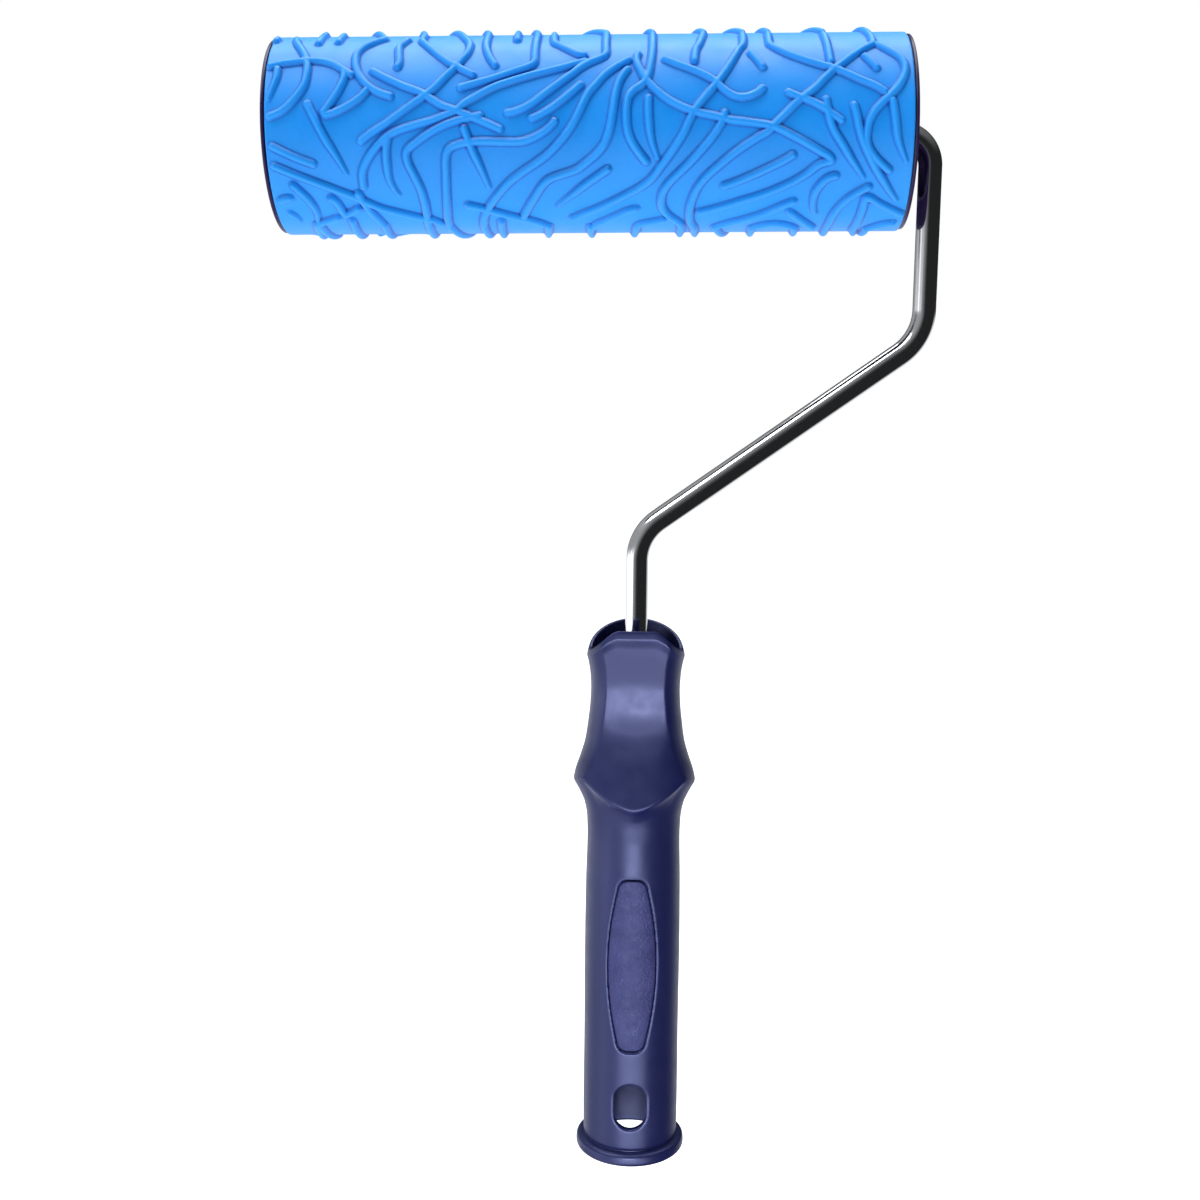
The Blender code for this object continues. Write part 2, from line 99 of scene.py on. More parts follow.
# Ridges on the front half as (distance along the roller from its middle, degrees).
RIDGES = (
    ((-89, 37), (-84.5, 40), (-79.5, 42), (-75, 42.5), (-71, 40), (-68, 35.5), (-65, 30.3)),
    ((-84, 80), (-82, 62), (-79.5, 50), (-78, 40), (-77.8, 32), (-78.4, 23), (-80.5, 15), (-84, 7),
     (-88.5, 2.5)),
    ((-58.5, 78), (-61, 65), (-63.4, 57), (-64.7, 49), (-64.6, 40), (-63.5, 32), (-61, 24),
     (-57.5, 18.5), (-53.7, 15.8)),
    ((-60.7, 21), (-62.5, 15.8), (-65, 11.5), (-68, 7.7), (-71, 5), (-73.2, 4.5)),
    ((-67.6, 35.5), (-67.4, 29), (-68.7, 20), (-70.8, 12), (-73.2, 4.5)),
    ((-60.3, 35.1), (-56, 29.2), (-51, 23.3), (-46, 18.5), (-40.5, 10.9), (-36.5, 7.7), (-30, 2),
     (-23.5, -4)),
    ((-76.5, 84), (-76.4, 70), (-76.3, 61.5)),
    ((-70.8, 84), (-71, 72), (-71, 64)),
    ((-51.5, 80), (-52.3, 66), (-53.3, 58), (-53, 49), (-52.6, 41), (-53.3, 36)),
    ((-89, 80), (-88.9, 67)),
    ((-88, -13.5), (-84, -18), (-80, -21.9), (-75.5, -25.6)),
    ((-88, -25.8), (-83.5, -30.2), (-78.5, -35), (-73.5, -39.8), (-69.5, -44), (-66, -47.7),
     (-63, -52), (-59.5, -57.4), (-56, -61), (-52, -65), (-48, -69.2), (-45.5, -71.5), (-44, -75),
     (-42.5, -82)),
    ((-73.3, -48), (-71.5, -52), (-70.6, -58.5), (-69.8, -65), (-67.3, -62.2), (-65, -57.4)),
    ((-71.5, -69.2), (-74.5, -74), (-77.5, -79.5), (-79.8, -86)),
    ((-68.5, -72.5), (-68.8, -80), (-69, -86)),
    ((-65, -43.4), (-63.7, -52), (-62.5, -60.6), (-61, -70.3), (-60.3, -80), (-60, -86)),
    ((-87.7, -52.5), (-85.8, -50.2), (-83.5, -49.3)),
    ((-63, -42), (-62.8, -31), (-61.6, -24), (-59.5, -17), (-56.5, -10), (-54, -6.2), (-51, -3.5),
     (-47, -0.9), (-43, 1.5), (-39.5, 4.5), (-36.3, 7.5), (-34, 12), (-30.5, 16.8), (-26, 22.8),
     (-21, 27.6), (-15, 32.5), (-9, 36.8), (-4, 41), (-0.5, 44.3)),
    ((-29, 5), (-33.5, 3), (-37, 1), (-40.5, -2), (-44, -6.2), (-47.5, -11.5), (-50, -16.5),
     (-50, -23), (-48.5, -31.5), (-47, -41.2), (-46.4, -51), (-46.3, -60.6), (-46.6, -71.4),
     (-47, -84)),
    ((-8.8, 2.8), (-11, -2.5), (-14.5, -7.5), (-18.5, -10.5), (-23, -10.7), (-28, -10.5),
     (-32, -10.9), (-35.5, -12.2), (-38.2, -14.8), (-39.3, -20), (-39.5, -29), (-39.8, -41.2),
     (-40.1, -54.2), (-40.5, -66), (-41, -84)),
    ((-35.5, 80), (-34.3, 69), (-33.6, 60.5), (-33.9, 52), (-35.2, 45), (-37.2, 37), (-39.7, 30),
     (-42.5, 21.7), (-45.7, 15.5), (-48.5, 11), (-52.5, 4.5), (-56, -1), (-60, -6.5), (-63.3, -12)),
    ((-47.5, 82), (-47.6, 72), (-46.4, 64), (-44.3, 56), (-41.8, 48.5), (-39, 42), (-36.3, 37.8),
     (-33.5, 34), (-31.3, 31.4)),
    ((-29.4, 84), (-29.2, 66), (-28.7, 55), (-27.5, 46), (-25.6, 38)),
    ((-15.3, 84), (-15.3, 60), (-15.2, 48), (-15.3, 42), (-17, 38.5), (-21, 34.5), (-25, 30.5),
     (-30, 26.3), (-36, 21.6)),
    ((-21.2, 86), (-20.8, 71)),
    ((-10.7, 84), (-10.2, 70), (-8.7, 62.6), (-6, 56), (-3.2, 50.8), (-0.7, 49.5)),
    ((4.2, 84), (4.3, 62), (4.4, 51), (2.8, 46.5), (0, 42.5), (-2.5, 38), (-5, 32.5), (-8, 26.5),
     (-12, 18.5), (-16, 11.5), (-20, 7.2), (-23, 6)),
    ((-1.8, 26.5), (-4.5, 20), (-7.5, 14), (-11, 8.2), (-14, 4.5), (-16.3, 2.5)),
    ((11.5, 46.5), (9, 42), (6.5, 37.5), (4, 32), (1.8, 25), (-0.3, 18.5), (-2.5, 8), (-4.2, 0.5),
     (-6, -5.5), (-8.5, -12), (-11.3, -18), (-14.8, -23.8), (-18.5, -29.4), (-21.5, -34.8),
     (-24.3, -41.8), (-26.8, -49.9), (-28.5, -57.4), (-29.8, -66), (-30.5, -75.7), (-31, -86)),
    ((11, 38.4), (9.3, 33), (8, 26), (7.2, 17.4), (6.6, 7.7), (6, -0.9), (5.3, -6.5), (4.2, -12.2),
     (2, -18), (-1, -23.5), (-3.5, -27.5), (-8, -31), (-11, -33.9), (-13, -38.5), (-14.8, -45.5),
     (-16.5, -53), (-17.9, -60.6), (-18.8, -68)),
    ((-35, -54), (-32, -56), (-28, -59.5), (-24, -63.8), (-20.5, -67.6), (-17.5, -70.9),
     (-14.5, -76), (-12, -85)),
    ((-25.3, -71.4), (-25.6, -79), (-25.8, -85)),
    ((13.6, 53.5), (12.9, 47.5), (13.1, 42), (14.1, 36), (15.4, 29.8), (18.5, 21), (21.5, 15.4),
     (25, 11.2), (29, 7.9), (34, 5.5), (39, 3), (44, 1.7), (50.5, -0.7), (56, -6.2), (60, -10.7),
     (63.5, -15), (66, -18.2), (66.6, -20.7), (65, -21.7), (63, -23.6), (60.5, -28.4), (57, -33.8),
     (53, -38.7), (48, -44), (43, -48.4), (40, -51.4), (35, -56.2), (30.3, -60.2)),
    ((17.4, 84), (17.3, 60), (16.9, 44), (16.1, 32), (14.7, 25.8), (12.4, 21.5), (10.8, 16.5),
     (10.3, 9), (10.4, 1), (10.9, -5), (12.1, -11), (14, -17), (16.4, -23.5)),
    ((43, 84), (42.6, 69), (41.3, 58.3), (39.8, 48.6), (38, 39), (36, 30.8), (34, 23.8),
     (31.5, 16.3), (29, 8.8), (27.3, 1.5), (26.1, -4.6), (24, -12.2), (21.8, -19.2), (19.8, -25.5),
     (17.5, -32.7), (14.5, -38.7), (10.5, -44.6), (6, -51.1), (2, -57), (-1, -61.2), (-5.5, -69.7)),
    ((20, 47), (24, 41.6), (28, 37.3), (31.5, 33), (34.5, 28), (36.5, 22.8), (38.7, 18.8), (41, 17),
     (43.5, 17.4), (46, 20), (48, 24.6)),
    ((32, 84), (30.5, 70), (29.4, 58), (28.9, 48), (29, 42.5)),
    ((44, 55), (45.5, 48.6), (46.8, 43), (48, 38)),
    ((50.3, 84), (50, 72), (50.3, 64.8), (52, 58.3), (55, 52), (58.5, 47), (62.5, 42.6), (66.5, 39),
     (70, 35.2), (74, 30.2), (78, 25.5), (81.3, 20)),
    ((79.3, 82), (79, 72.3), (77.5, 65.3), (75.3, 58.8), (72.5, 51.3), (69.8, 44.3), (67, 37.8),
     (64.5, 31.4), (62, 24.4), (59.5, 19), (56.5, 13.6), (53.8, 7.2), (51.3, 1.8), (49, -3.5),
     (46, -7.4), (42.5, -12.4), (39, -18.2), (35.5, -25), (32.5, -31.5), (30.3, -39), (29, -47.7),
     (28.4, -56.3), (28.4, -65), (28.8, -73), (30, -86)),
    ((66, 84), (66, 60), (66.2, 42)),
    ((79.8, 71), (81, 63.7), (83, 56.7), (85.3, 49.7), (86.4, 42), (86.2, 34.6), (84.8, 27),
     (82.6, 20), (80.3, 15), (78, 9.3), (76.5, 2.8), (76, -3), (76, -8.5), (77, -14), (79, -19.4),
     (81.3, -24), (83.3, -27.6)),
    ((53.8, 21), (56.5, 18), (60, 15.2), (63.5, 11.3), (66.5, 6.6), (69.5, 2.2)),
    ((75.3, 52.4), (76.8, 46.5), (79.2, 38)),
    ((56.8, -16.5), (53, -21.5), (48, -27.2), (43, -32.6), (39.5, -36), (36.8, -38.4)),
    ((78.3, -36.6), (76.5, -39.2), (74, -43), (72, -47.5), (70.3, -53.6), (69, -61.7),
     (68.5, -71.4), (68.2, -84)),
    ((88.8, -61), (85, -55.8), (81, -50), (77.6, -45.2), (77, -54), (76.6, -65), (76.3, -75.7),
     (76, -86)),
    ((58, -48), (54, -53), (50, -59.4), (46, -65), (43, -69.2), (40.5, -72.5), (38, -77.3),
     (36, -84)),
    ((56, -57.6), (58.3, -63.3), (60.8, -70.3), (63, -77.3), (64.5, -86)),
    ((46.8, -86), (48.5, -79.5), (51, -75.5), (53.5, -74.3), (56, -76.2), (58, -80.5), (59.3, -86)),
    ((87.3, -71), (84.3, -73), (81.8, -77.9), (80, -86)),
    ((14, -55.9), (11, -58.8), (8, -64), (4.5, -71.3), (2, -78.3), (0, -87)),
    ((21.8, -68.6), (19, -71.4), (16, -74.6), (14.3, -78), (13.5, -86)),
    ((37.4, 9), (36.3, 1.5), (34.3, -5.7), (31.8, -12.7), (28.8, -20.2), (25.8, -27.2), (22.9, -34),
     (20.9, -41.2), (20.3, -48.8), (20.8, -56.3), (22.3, -63.3), (24.3, -69), (25.8, -75.7),
     (26.4, -86)),
)
TAPERED_RIDGES = (
    ((-86, 37), (-86, 30), (-87, 21), (-88.3, 12)),
    ((-77.7, 12.8), (-75.6, 4), (-72.6, -9), (-69.5, -20.8), (-66.8, -33)),
    ((-83.3, -38), (-81.3, -43.4), (-79.4, -49.9), (-78.2, -57.4), (-77.9, -65), (-78.4, -73.5),
     (-79.2, -84)),
    ((-86.1, -62.8), (-84.5, -69.2), (-84, -75.7), (-84.3, -84)),
    ((-54.9, -6.5), (-55.7, -15), (-55.8, -25), (-55.5, -34), (-54.4, -41.5), (-52.8, -48)),
    ((-34.4, -1.2), (-33.3, -7.8), (-32, -15.4), (-30.3, -24), (-28.8, -32.6), (-27.4, -42)),
    ((6, -26), (2.2, -32), (-1, -37.6), (-4, -43.8), (-7, -50.2), (-9.8, -57.5)),
    ((16.3, 18), (16.3, 8.8), (16.6, 0), (17, -6), (17.7, -12), (19.4, -21.8)),
    ((72, 14), (73, 6.6), (73.8, -1), (75, -9), (77, -17.5), (79, -25), (81.1, -32), (83.5, -40),
     (86.4, -49.5)),
    ((64.5, 17.6), (64.9, 12), (65.6, 5.5), (66.4, 0), (67.6, -5), (69.5, -11), (72, -19.2),
     (74.3, -26.2), (76.4, -33)),
    ((82.6, 17.4), (83.1, 11), (83.7, 2.3), (84, -3), (84.6, -8.5), (85.8, -14.8), (87.5, -22.5)),
    ((69, -29.6), (66.3, -31.6), (64.3, -36), (63, -42.3), (62.8, -49.9), (63.4, -57.4),
     (64.5, -62.5)),
)
# Pieces of ridge that carry the front half's pattern over the top and under the bottom.
CROSSINGS = (
    ((-35.5, 80), (-43, 96)),
    ((-47.5, 82), (-50.3, 96)),
    ((-58.5, 78), (-66, 96)),
    ((4.2, 84), (-4.2, 96)),
    ((-15.3, 84), (-17.4, 96)),
    ((-29.4, 84), (-32, 96)),
    ((79.3, 82), (76.5, 96)),
    ((-41, -84), (-36, -96)),
    ((-47, -84), (-46.8, -94)),
    ((-31, -86), (-30, -94)),
    ((-12, -85), (-13.5, -94)),
    ((0, -86), (0, -94)),
    ((26.4, -86), (25.8, -95)),
    ((68.2, -84), (69, -94)),
    ((76, -86), (79, -96)),
    ((80, -86), (79.8, -94)),
    ((-60, -86), (-59.3, -94)),
)

# Handle: sections along its skin, from the socket's closed top down the inside, round the
# open end, up the outside, over the rim and down the rod's bore. The last number of each is
# the spacing of the mesh up to the next one. A round one is (radius, height, spacing).
ROUND_SKIN_BELOW = (
    (0.05, 104.0, 3.0), (4.0, 104.0, 2.5), (11.4, 98.0, 4.0), (11.4, 31.0, 1.0),
    (12.7, 28.0, 3.0), (12.7, 1.2, 0.25), (13.3, 0.4, 0.25), (14.0, 0.0, 0.6),
    (15.9, 0.0, 0.25), (16.8, 0.4, 0.25), (17.1, 1.3, 0.25), (17.0, 2.9, 0.25),
    (16.5, 3.7, 0.2), (15.3, 4.05, 0.2), (14.5, 4.1, 0.2), (14.45, 4.5, 0.2),
    (14.8, 5.0, 0.25), (14.85, 7.0, 0.4), (14.9, 16.0, 0.4), (14.8, 40.0, 0.45),
    (14.85, 64.0, 0.45), (14.65, 88.0, 0.45), (14.3, 103.0, 0.45),
)
# A shaped one is front (depth, height), corner of the front facet (half width, depth,
# height), side (half width, height), rear (depth, height), the share of the facet's top
# edge that is level, and the spacing.
SHAPED_SKIN = (
    ((14.5, 106.5), (10.3, 10.3, 108.5), (14.5, 108.5), (14.5, 108.0), 0.0, 0.4),
    ((15.3, 110.2), (11.0, 10.9, 114.0), (15.3, 113.2), (15.3, 112.6), 0.0, 0.35),
    ((16.8, 113.0), (12.9, 11.4, 119.0), (16.9, 117.0), (16.8, 116.2), 0.0, 0.3),
    ((19.0, 115.2), (15.4, 12.0, 123.0), (18.8, 120.5), (18.6, 119.5), 0.0, 0.3),
    ((17.6, 118.8), (14.0, 11.6, 126.2), (18.1, 123.6), (18.0, 122.8), 0.0, 0.4),
    ((15.5, 124.3), (12.4, 11.0, 130.2), (16.6, 128.0), (16.5, 127.5), 0.0, 0.5),
    ((13.2, 130.8), (11.1, 10.6, 135.0), (15.2, 133.0), (15.2, 133.0), 0.0, 0.5),
    ((11.4, 137.4), (10.1, 10.3, 139.8), (14.4, 138.5), (14.3, 138.5), 0.0, 0.5),
    ((10.4, 144.4), (9.4, 10.1, 144.8), (13.8, 144.0), (13.6, 144.0), 0.1, 0.5),
    ((10.3, 150.4), (9.0, 10.2, 150.0), (13.6, 148.8), (13.4, 149.5), 0.2, 0.5),
    ((11.1, 156.8), (9.1, 11.0, 156.0), (13.8, 153.2), (13.5, 155.5), 0.35, 0.45),
    ((12.5, 163.0), (9.7, 12.3, 161.2), (14.4, 157.2), (13.8, 162.0), 0.5, 0.25),
    ((13.9, 166.3), (10.2, 13.6, 163.7), (14.9, 159.2), (14.1, 166.0), 0.55, 0.25),
    ((13.35, 168.5), (9.9, 13.1, 165.7), (14.4, 160.8), (13.9, 167.9), 0.55, 0.2),
    ((13.15, 168.8), (9.7, 12.9, 165.9), (14.2, 161.1), (13.7, 168.2), 0.55, 0.2),
    ((12.7, 168.8), (9.3, 12.3, 165.9), (13.5, 161.2), (13.0, 168.2), 0.55, 0.2),
    ((12.4, 168.3), (8.9, 12.0, 165.4), (13.2, 160.8), (12.7, 167.8), 0.55, 0.6),
    ((12.1, 163.0), (8.7, 11.7, 162.0), (13.1, 159.5), (12.5, 163.5), 0.3, 0.6),
    ((9.8, 156.7), (7.7, 9.1, 156.7), (12.2, 156.6), (11.8, 156.7), 0.0, 0.5),
    ((7.6, 154.2), (6.2, 6.4, 154.1), (9.8, 154.1), (9.6, 154.2), 0.0, 0.8),
)
ROUND_SKIN_ABOVE = ((4.7, 154.0, 0.25), (3.9, 153.4, 0.5), (3.8, 152.6, 3.0),
                    (3.8, 115.3, 1.5), (0.05, 115.0, 1.0))
FACET_STEPS, FLANK_STEPS, REAR_STEPS = 30, 15, 46
GUARD_CURVE = 1.5           # above 1, the guard's V is rounded at its point
SHARP_HEIGHTS = (115.2, 166.3)      # front heights of the sections that are edges
SHARPNESS = 0.12            # share of the way to the next section that an edge's curve takes
SKIN_ROUNDING = 1.0         # in mesh cells
# Walls that stay unrounded: the socket's, within a radius and below a height, and the bore's.
SOCKET_WITHIN, SOCKET_BELOW, BORE_WITHIN = 12.75, 150.0, 5.5
# Degrees that a mesh bends by at an edge which is shaded as a sharp one.
HANDLE_SHARP, PAD_SHARP, ROD_SHARP, TURNED_SHARP = 38, 40, 50, 32
SLOT_HALF = 5.2             # half its width, and the radius of its ends
SLOT_BOTTOM, SLOT_TOP = 11.3, 26.2
SLOT_LIP = 0.7              # radius of its rolled edge
SLOT_END_STEPS = 25
REAR_SLOT_INSET = 1.1       # the rear wall's slot is this much smaller all round
PANEL_BOTTOM, PANEL_TOP = 36.9, 92.3
PANEL_HALF_WIDTH, PANEL_END_HALF_WIDTH = 7.6, 4.6
PANEL_CORNER = 3.4
PANEL_SIDE_STEPS, PANEL_BEND_STEPS = 24, 12
PANEL_LIP = 0.8             # radius of its rolled edge
PANEL_FLOOR = 13.2          # radius
POCKET_RINGS, POCKET_HUB = 24, 0.02     # of its cutter's mesh, the hub as a share of its size
PAD_GAP = 0.3
PAD_FACE, PAD_BACK = 14.45, 13.5        # radii
PAD_RINGS = ((0.0, PAD_BACK), (0.0, 14.0), (0.05, 14.2), (0.18, 14.35), (0.4, 14.43),
             (0.7, PAD_FACE))       # inset and radius
PAD_SHARES = np.linspace(0.93, 0.03, 16)    # sizes of the rings inside those, for its face
CUTTER_REACH = 24.0         # past the handle, front and back
# Where the grip's rolled edges may be: outside a radius, between heights, within a half width.
LIP_INSIDE, LIP_LOW, LIP_HIGH, LIP_HALF_WIDTH = 14.0, 5.0, 100.0, 10.0

# Rod
SHOULDER_Z, NECK_Z = 255.0, 196.0
ROD_BENDS = (9.3, 16.0, 15.0)
BEND_STEPS = 28
ROD_SIDES = 64
ROD_TIP, TIP_STEPS = 0.9, 8             # rounding of its ends
ROD_MARGIN = 0.8            # its free end's depth below the cap's rim

# Roller's ends, as depths below the caps' rims
CAP_RIM, CAP_SPIGOT, CAP_WALL, CORE_WALL = 1.0, 12.0, 1.6, 1.6
CAP_WEB, CAP_WEB_DEPTH, CAP_RIBS, CAP_RIB_WIDTH = 2.0, 9.0, 6, 1.4
CAP_ROUNDING, BEAD_RADIUS, BEAD_DEPTH, BEAD_INSET = 0.45, 0.55, 0.75, 0.1
BEAD_SIDES = 12
RIB_SINK = 0.4              # how far a rib runs into the hub, the wall and the web
RIB_DROP, RIB_DRAFT, RIB_ROUNDING = 0.2, 0.15, 0.4
RIB_BACK, RIB_BACK_FALL = 0.75, 0.1     # share of its half width, and its back's fall there
HUB_RADIUS, HUB_DEPTH, HUB_END = 8.0, 6.6, 18.0
BUSH_RADIUS, BUSH_FLANGE_RADIUS, BUSH_FLANGE, BUSH_LENGTH = 5.4, 7.4, 1.2, 11.0
WASHER_RADIUS, WASHER_THICKNESS = 6.4, 1.0
COLLAR_RADIUS, COLLAR_LENGTH = 5.2, 1.5
NUT_RADIUS, NUT_CROWN, NUT_THICKNESS, NUT_TEETH = 5.8, 1.2, 0.6, 6
NUT_SHOULDER, NUT_FOLD, TOOTH_WIDTH = 0.55, 0.45, 0.78  # shares of its rim, crown and pitch
TOOTH_ROOT, TOOTH_INSET = 0.1, 0.05     # how far a tooth runs into the nut's rim
BUSH_ROUNDING, WASHER_ROUNDING, COLLAR_ROUNDING, NUT_ROUNDING = 0.3, 0.2, 0.3, 0.15
CORNER_SHARE = 0.45         # most of a side that a rounded corner takes
STRAIGHT = math.radians(175)            # corners straighter than this aren't rounded
GAP = 0.3
BUSH_BORE = ROD_RADIUS + 0.4
TURN_STEPS = 128

NOISE_LOW, NOISE_HIGH = 0.3, 0.7        # most of a noise lies between these

# Studio, in metres. The table's glow and the softboxes' brightness are radiances.
FLOOR_DROP, FLOOR_GLOW = 0.12, 1.0
FLOOR_SIDE, FLOOR_REACH_FRONT, FLOOR_REACH_BACK = 3.0, -1.6, 3.0
# What the tool sees round it: each part's brightness, and the ranges of the
# direction along the axes over which it fades in.
WORLD_PARTS = (
    # everywhere, so that nothing is black
    (0.02, (("Z", -2.0, -1.5),)),
    # the table: behind the tool, and on its left
    (0.8, (("Y", 0.3, 0.75), ("Z", 0.02, -0.12))),
    (1.3, (("X", -0.58, -0.7), ("Y", 0.52, 0.4), ("Z", 0.1, -0.12), ("Z", -0.36, -0.22))),
    # the grey wall on the left, and the bright strip on it
    (0.34, (("X", 0.05, -0.8),)),
    (0.9, (("X", -0.75, -0.88), ("Y", -0.5, -0.4), ("Y", -0.2, -0.3), ("Z", 0.12, 0.0))),
    # the ceiling
    (0.12, (("Z", 0.3, 0.8),)),
    # the table in front
    (0.6, (("Z", -0.3, -0.5), ("X", 0.1, -0.2), ("Y", 0.35, -0.2))),
)
WORLD_COLOUR = (0.97, 0.985, 1.0, 1.0)
HANDLE_PIECES = ("handle", "pad_front", "pad_back")
# Name, place, point aimed at, size and brightness, then, for a light that only some pieces
# get, those pieces and whether they mirror it as well.
SOFTBOXES = (
    ("top_softbox", (0.0, 0.16, 1.35), (0.0, 0.0, 0.25), (1.2, 1.0), 3.9),
    ("left_softbox", (-0.62, -0.4, 1.1), (0.05, 0.0, 0.2), (0.4, 0.55), 6.0),
    ("front_strip", (0.0, -1.0, 0.0), (0.0, 0.0, 0.15), (0.5, 0.2), 22.0, HANDLE_PIECES, True),
    ("front_low", (0.02, -0.27, -0.1), (0.0, 0.0, 0.08), (0.3, 0.1), 4.6, HANDLE_PIECES, True),
    ("sleeve_fill", (0.0, -1.0, 0.0), (0.0, 0.0, 0.3), (0.8, 0.3), 5.2, ("sleeve",), False),
)
CAMERA_PLACE = (0.00925, -0.478, 0.256)
CAMERA_ANGLES = (9.51, -1.33, 0.54)     # pitch down, yaw and roll, in degrees
CAMERA_LENS, CAMERA_SENSOR = 48.0, 36.0


# ------------------------------------------------------------ meshes

def add_object(name, data):
    thing = bpy.data.objects.new(name, data)
    bpy.context.scene.collection.objects.link(thing)
    return thing


def add_piece(name, mesh, finish, body, slot, *nodes):
    """A piece in its finish, riding on a body in place of the CAD nodes."""
    piece = add_object(name, mesh)
    mesh.materials.append(finish)
    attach(piece, body)
    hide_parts(*nodes)
    return piece


def grid_mesh(name, points, closed_rows=False):
    """A skin over a grid of points in millimetres: columns run round, rows may close too."""
    rows, columns = points.shape[:2]
    index = np.arange(rows * columns).reshape(rows, columns)
    lower = index if closed_rows else index[:-1]
    upper = np.roll(index, -1, axis=0) if closed_rows else index[1:]
    quads = np.stack([lower, np.roll(lower, -1, axis=1), np.roll(upper, -1, axis=1), upper], axis=-1)
    mesh = bpy.data.meshes.new(name)
    mesh.from_pydata((points.reshape(-1, 3) * MM).tolist(), [], quads.reshape(-1, 4).tolist())
    return mesh


def turn_faces_out(mesh):
    shape = bmesh.new()
    shape.from_mesh(mesh)
    bmesh.ops.recalc_face_normals(shape, faces=shape.faces)
    shape.to_mesh(mesh)
    shape.free()


def close_ends(mesh, columns):
    """Covers the two open ends of a skin whose columns run round."""
    shape = bmesh.new()
    shape.from_mesh(mesh)
    points = list(shape.verts)
    for corners in (points[:columns], points[-columns:]):
        hub = shape.verts.new(sum((point.co for point in corners), Vector()) / columns)
        for here, there in zip(corners, corners[1:] + corners[:1]):
            shape.faces.new((hub, here, there))
    shape.to_mesh(mesh)
    shape.free()
    turn_faces_out(mesh)


def soften(mesh, degrees):
    mesh.shade_smooth()
    mesh.set_sharp_from_angle(angle=math.radians(degrees))


def applied(piece, name):
    """The mesh of an object with its modifiers carried out."""
    evaluated = piece.evaluated_get(bpy.context.evaluated_depsgraph_get())
    mesh = bpy.data.meshes.new_from_object(evaluated)
    mesh.name = name
    return mesh


def drop(helper):
    """Removes an object that only helped to make another."""
    mesh = helper.data
    bpy.data.objects.remove(helper, do_unlink=True)
    bpy.data.meshes.remove(mesh)


def gaussian(reach):
    """Weights of a blur whose reach is in cells."""
    half = max(1, math.ceil(3 * reach))
    weights = np.exp(-0.5 * (np.arange(-half, half + 1) / reach) ** 2)
    return weights / weights.sum()


def blur_rows(grid, reach, wrap):
    """Blurs down the columns of a grid of numbers or points."""
    weights = gaussian(reach)
    half = len(weights) // 2
    padding = [(half, half)] + [(0, 0)] * (grid.ndim - 1)
    padded = np.pad(grid, padding, mode="wrap" if wrap else "edge")
    return sum(w * padded[i:i + len(grid)] for i, w in enumerate(weights))


def distances_along(line):
    """How far along a line each of its points is."""
    return np.concatenate([[0], np.cumsum(np.linalg.norm(np.diff(line, axis=0), axis=1))])


def blur(grid, reach):
    """Blurs along the roller and round it."""
    along = blur_rows(grid, reach, wrap=False)
    return np.swapaxes(blur_rows(np.swapaxes(along, 0, 1), reach, wrap=True), 0, 1)


# ------------------------------------------------------------ sleeve

TILT = np.array([[math.cos(AXLE_TILT), 0, math.sin(AXLE_TILT)], [0, 1, 0],
                 [-math.sin(AXLE_TILT), 0, math.cos(AXLE_TILT)]])
ROLLER_MIDDLE = np.array([ROLLER_X, 0.0, AXLE_Z])


def on_roller(points):
    """Points along, in front of and over the roller's middle, put where the roller is."""
    return points @ TILT + ROLLER_MIDDLE


CIRCUMFERENCE = 2 * math.pi * (GROUND_RADIUS + RIDGE_RISE / 2)
ROWS = 2 * round(SLEEVE_LENGTH / CELL / 2) + 1
COLUMNS = 2 * round(CIRCUMFERENCE / CELL / 2)
ROW_STEP = SLEEVE_LENGTH / (ROWS - 1)
COLUMN_STEP = CIRCUMFERENCE / COLUMNS


def trimmed(line):
    """A line without its first and last stretch, which the ridge's round ends make up."""
    run = distances_along(line)
    cut = min(END_TRIM * RIDGE_HALF, run[-1] / 4)
    kept = np.concatenate([[cut], run[(run > cut) & (run < run[-1] - cut)], [run[-1] - cut]])
    return np.column_stack([np.interp(kept, run, line[:, 0]), np.interp(kept, run, line[:, 1])])


def smooth_line(points, steps=7):
    """A Catmull-Rom curve through points."""
    line = np.vstack([2 * points[0] - points[1], points, 2 * points[-1] - points[-2]])
    share = np.linspace(0, 1, steps, endpoint=False)[:, None]
    pieces = []
    for before, start, end, after in zip(line, line[1:], line[2:], line[3:]):
        pieces.append(0.5 * (2 * start + (end - before) * share
                             + (2 * before - 5 * start + 4 * end - after) * share ** 2
                             + (3 * start - before - 3 * end + after) * share ** 3))
    return np.vstack(pieces + [points[-1][None]])


def on_crest(along, angle):
    """Points read on a cylinder of READ_RADIUS, moved along the lines of sight to the backs
    of the ridges. Past the reading's ends they spread evenly to the very top or bottom."""
    eye = np.array(CAMERA_PLACE) / MM - ROLLER_MIDDLE
    inside = np.clip(angle, READ_BOTTOM, READ_TOP)
    turn = np.radians(inside)
    seen = np.column_stack([along, -READ_RADIUS * np.cos(turn), READ_RADIUS * np.sin(turn)])
    sight = (seen - eye) @ TILT.T
    eye = eye @ TILT.T
    a = (sight[:, 1:] ** 2).sum(axis=1)
    b = sight[:, 1:] @ eye[1:]
    c = eye[1:] @ eye[1:] - (CREST_RADIUS - READ_DEPTH) ** 2
    met = eye + sight * ((-b - np.sqrt(b * b - a * c)) / a)[:, None]
    moved = np.degrees(np.arctan2(met[:, 2], -met[:, 1]))
    end = np.sign(angle) * 90
    limit = np.where(angle > 0, READ_TOP, READ_BOTTOM)
    moved += np.where(inside == angle, 0, (angle - limit) * (end - moved) / (end - limit))
    return met[:, 0], moved


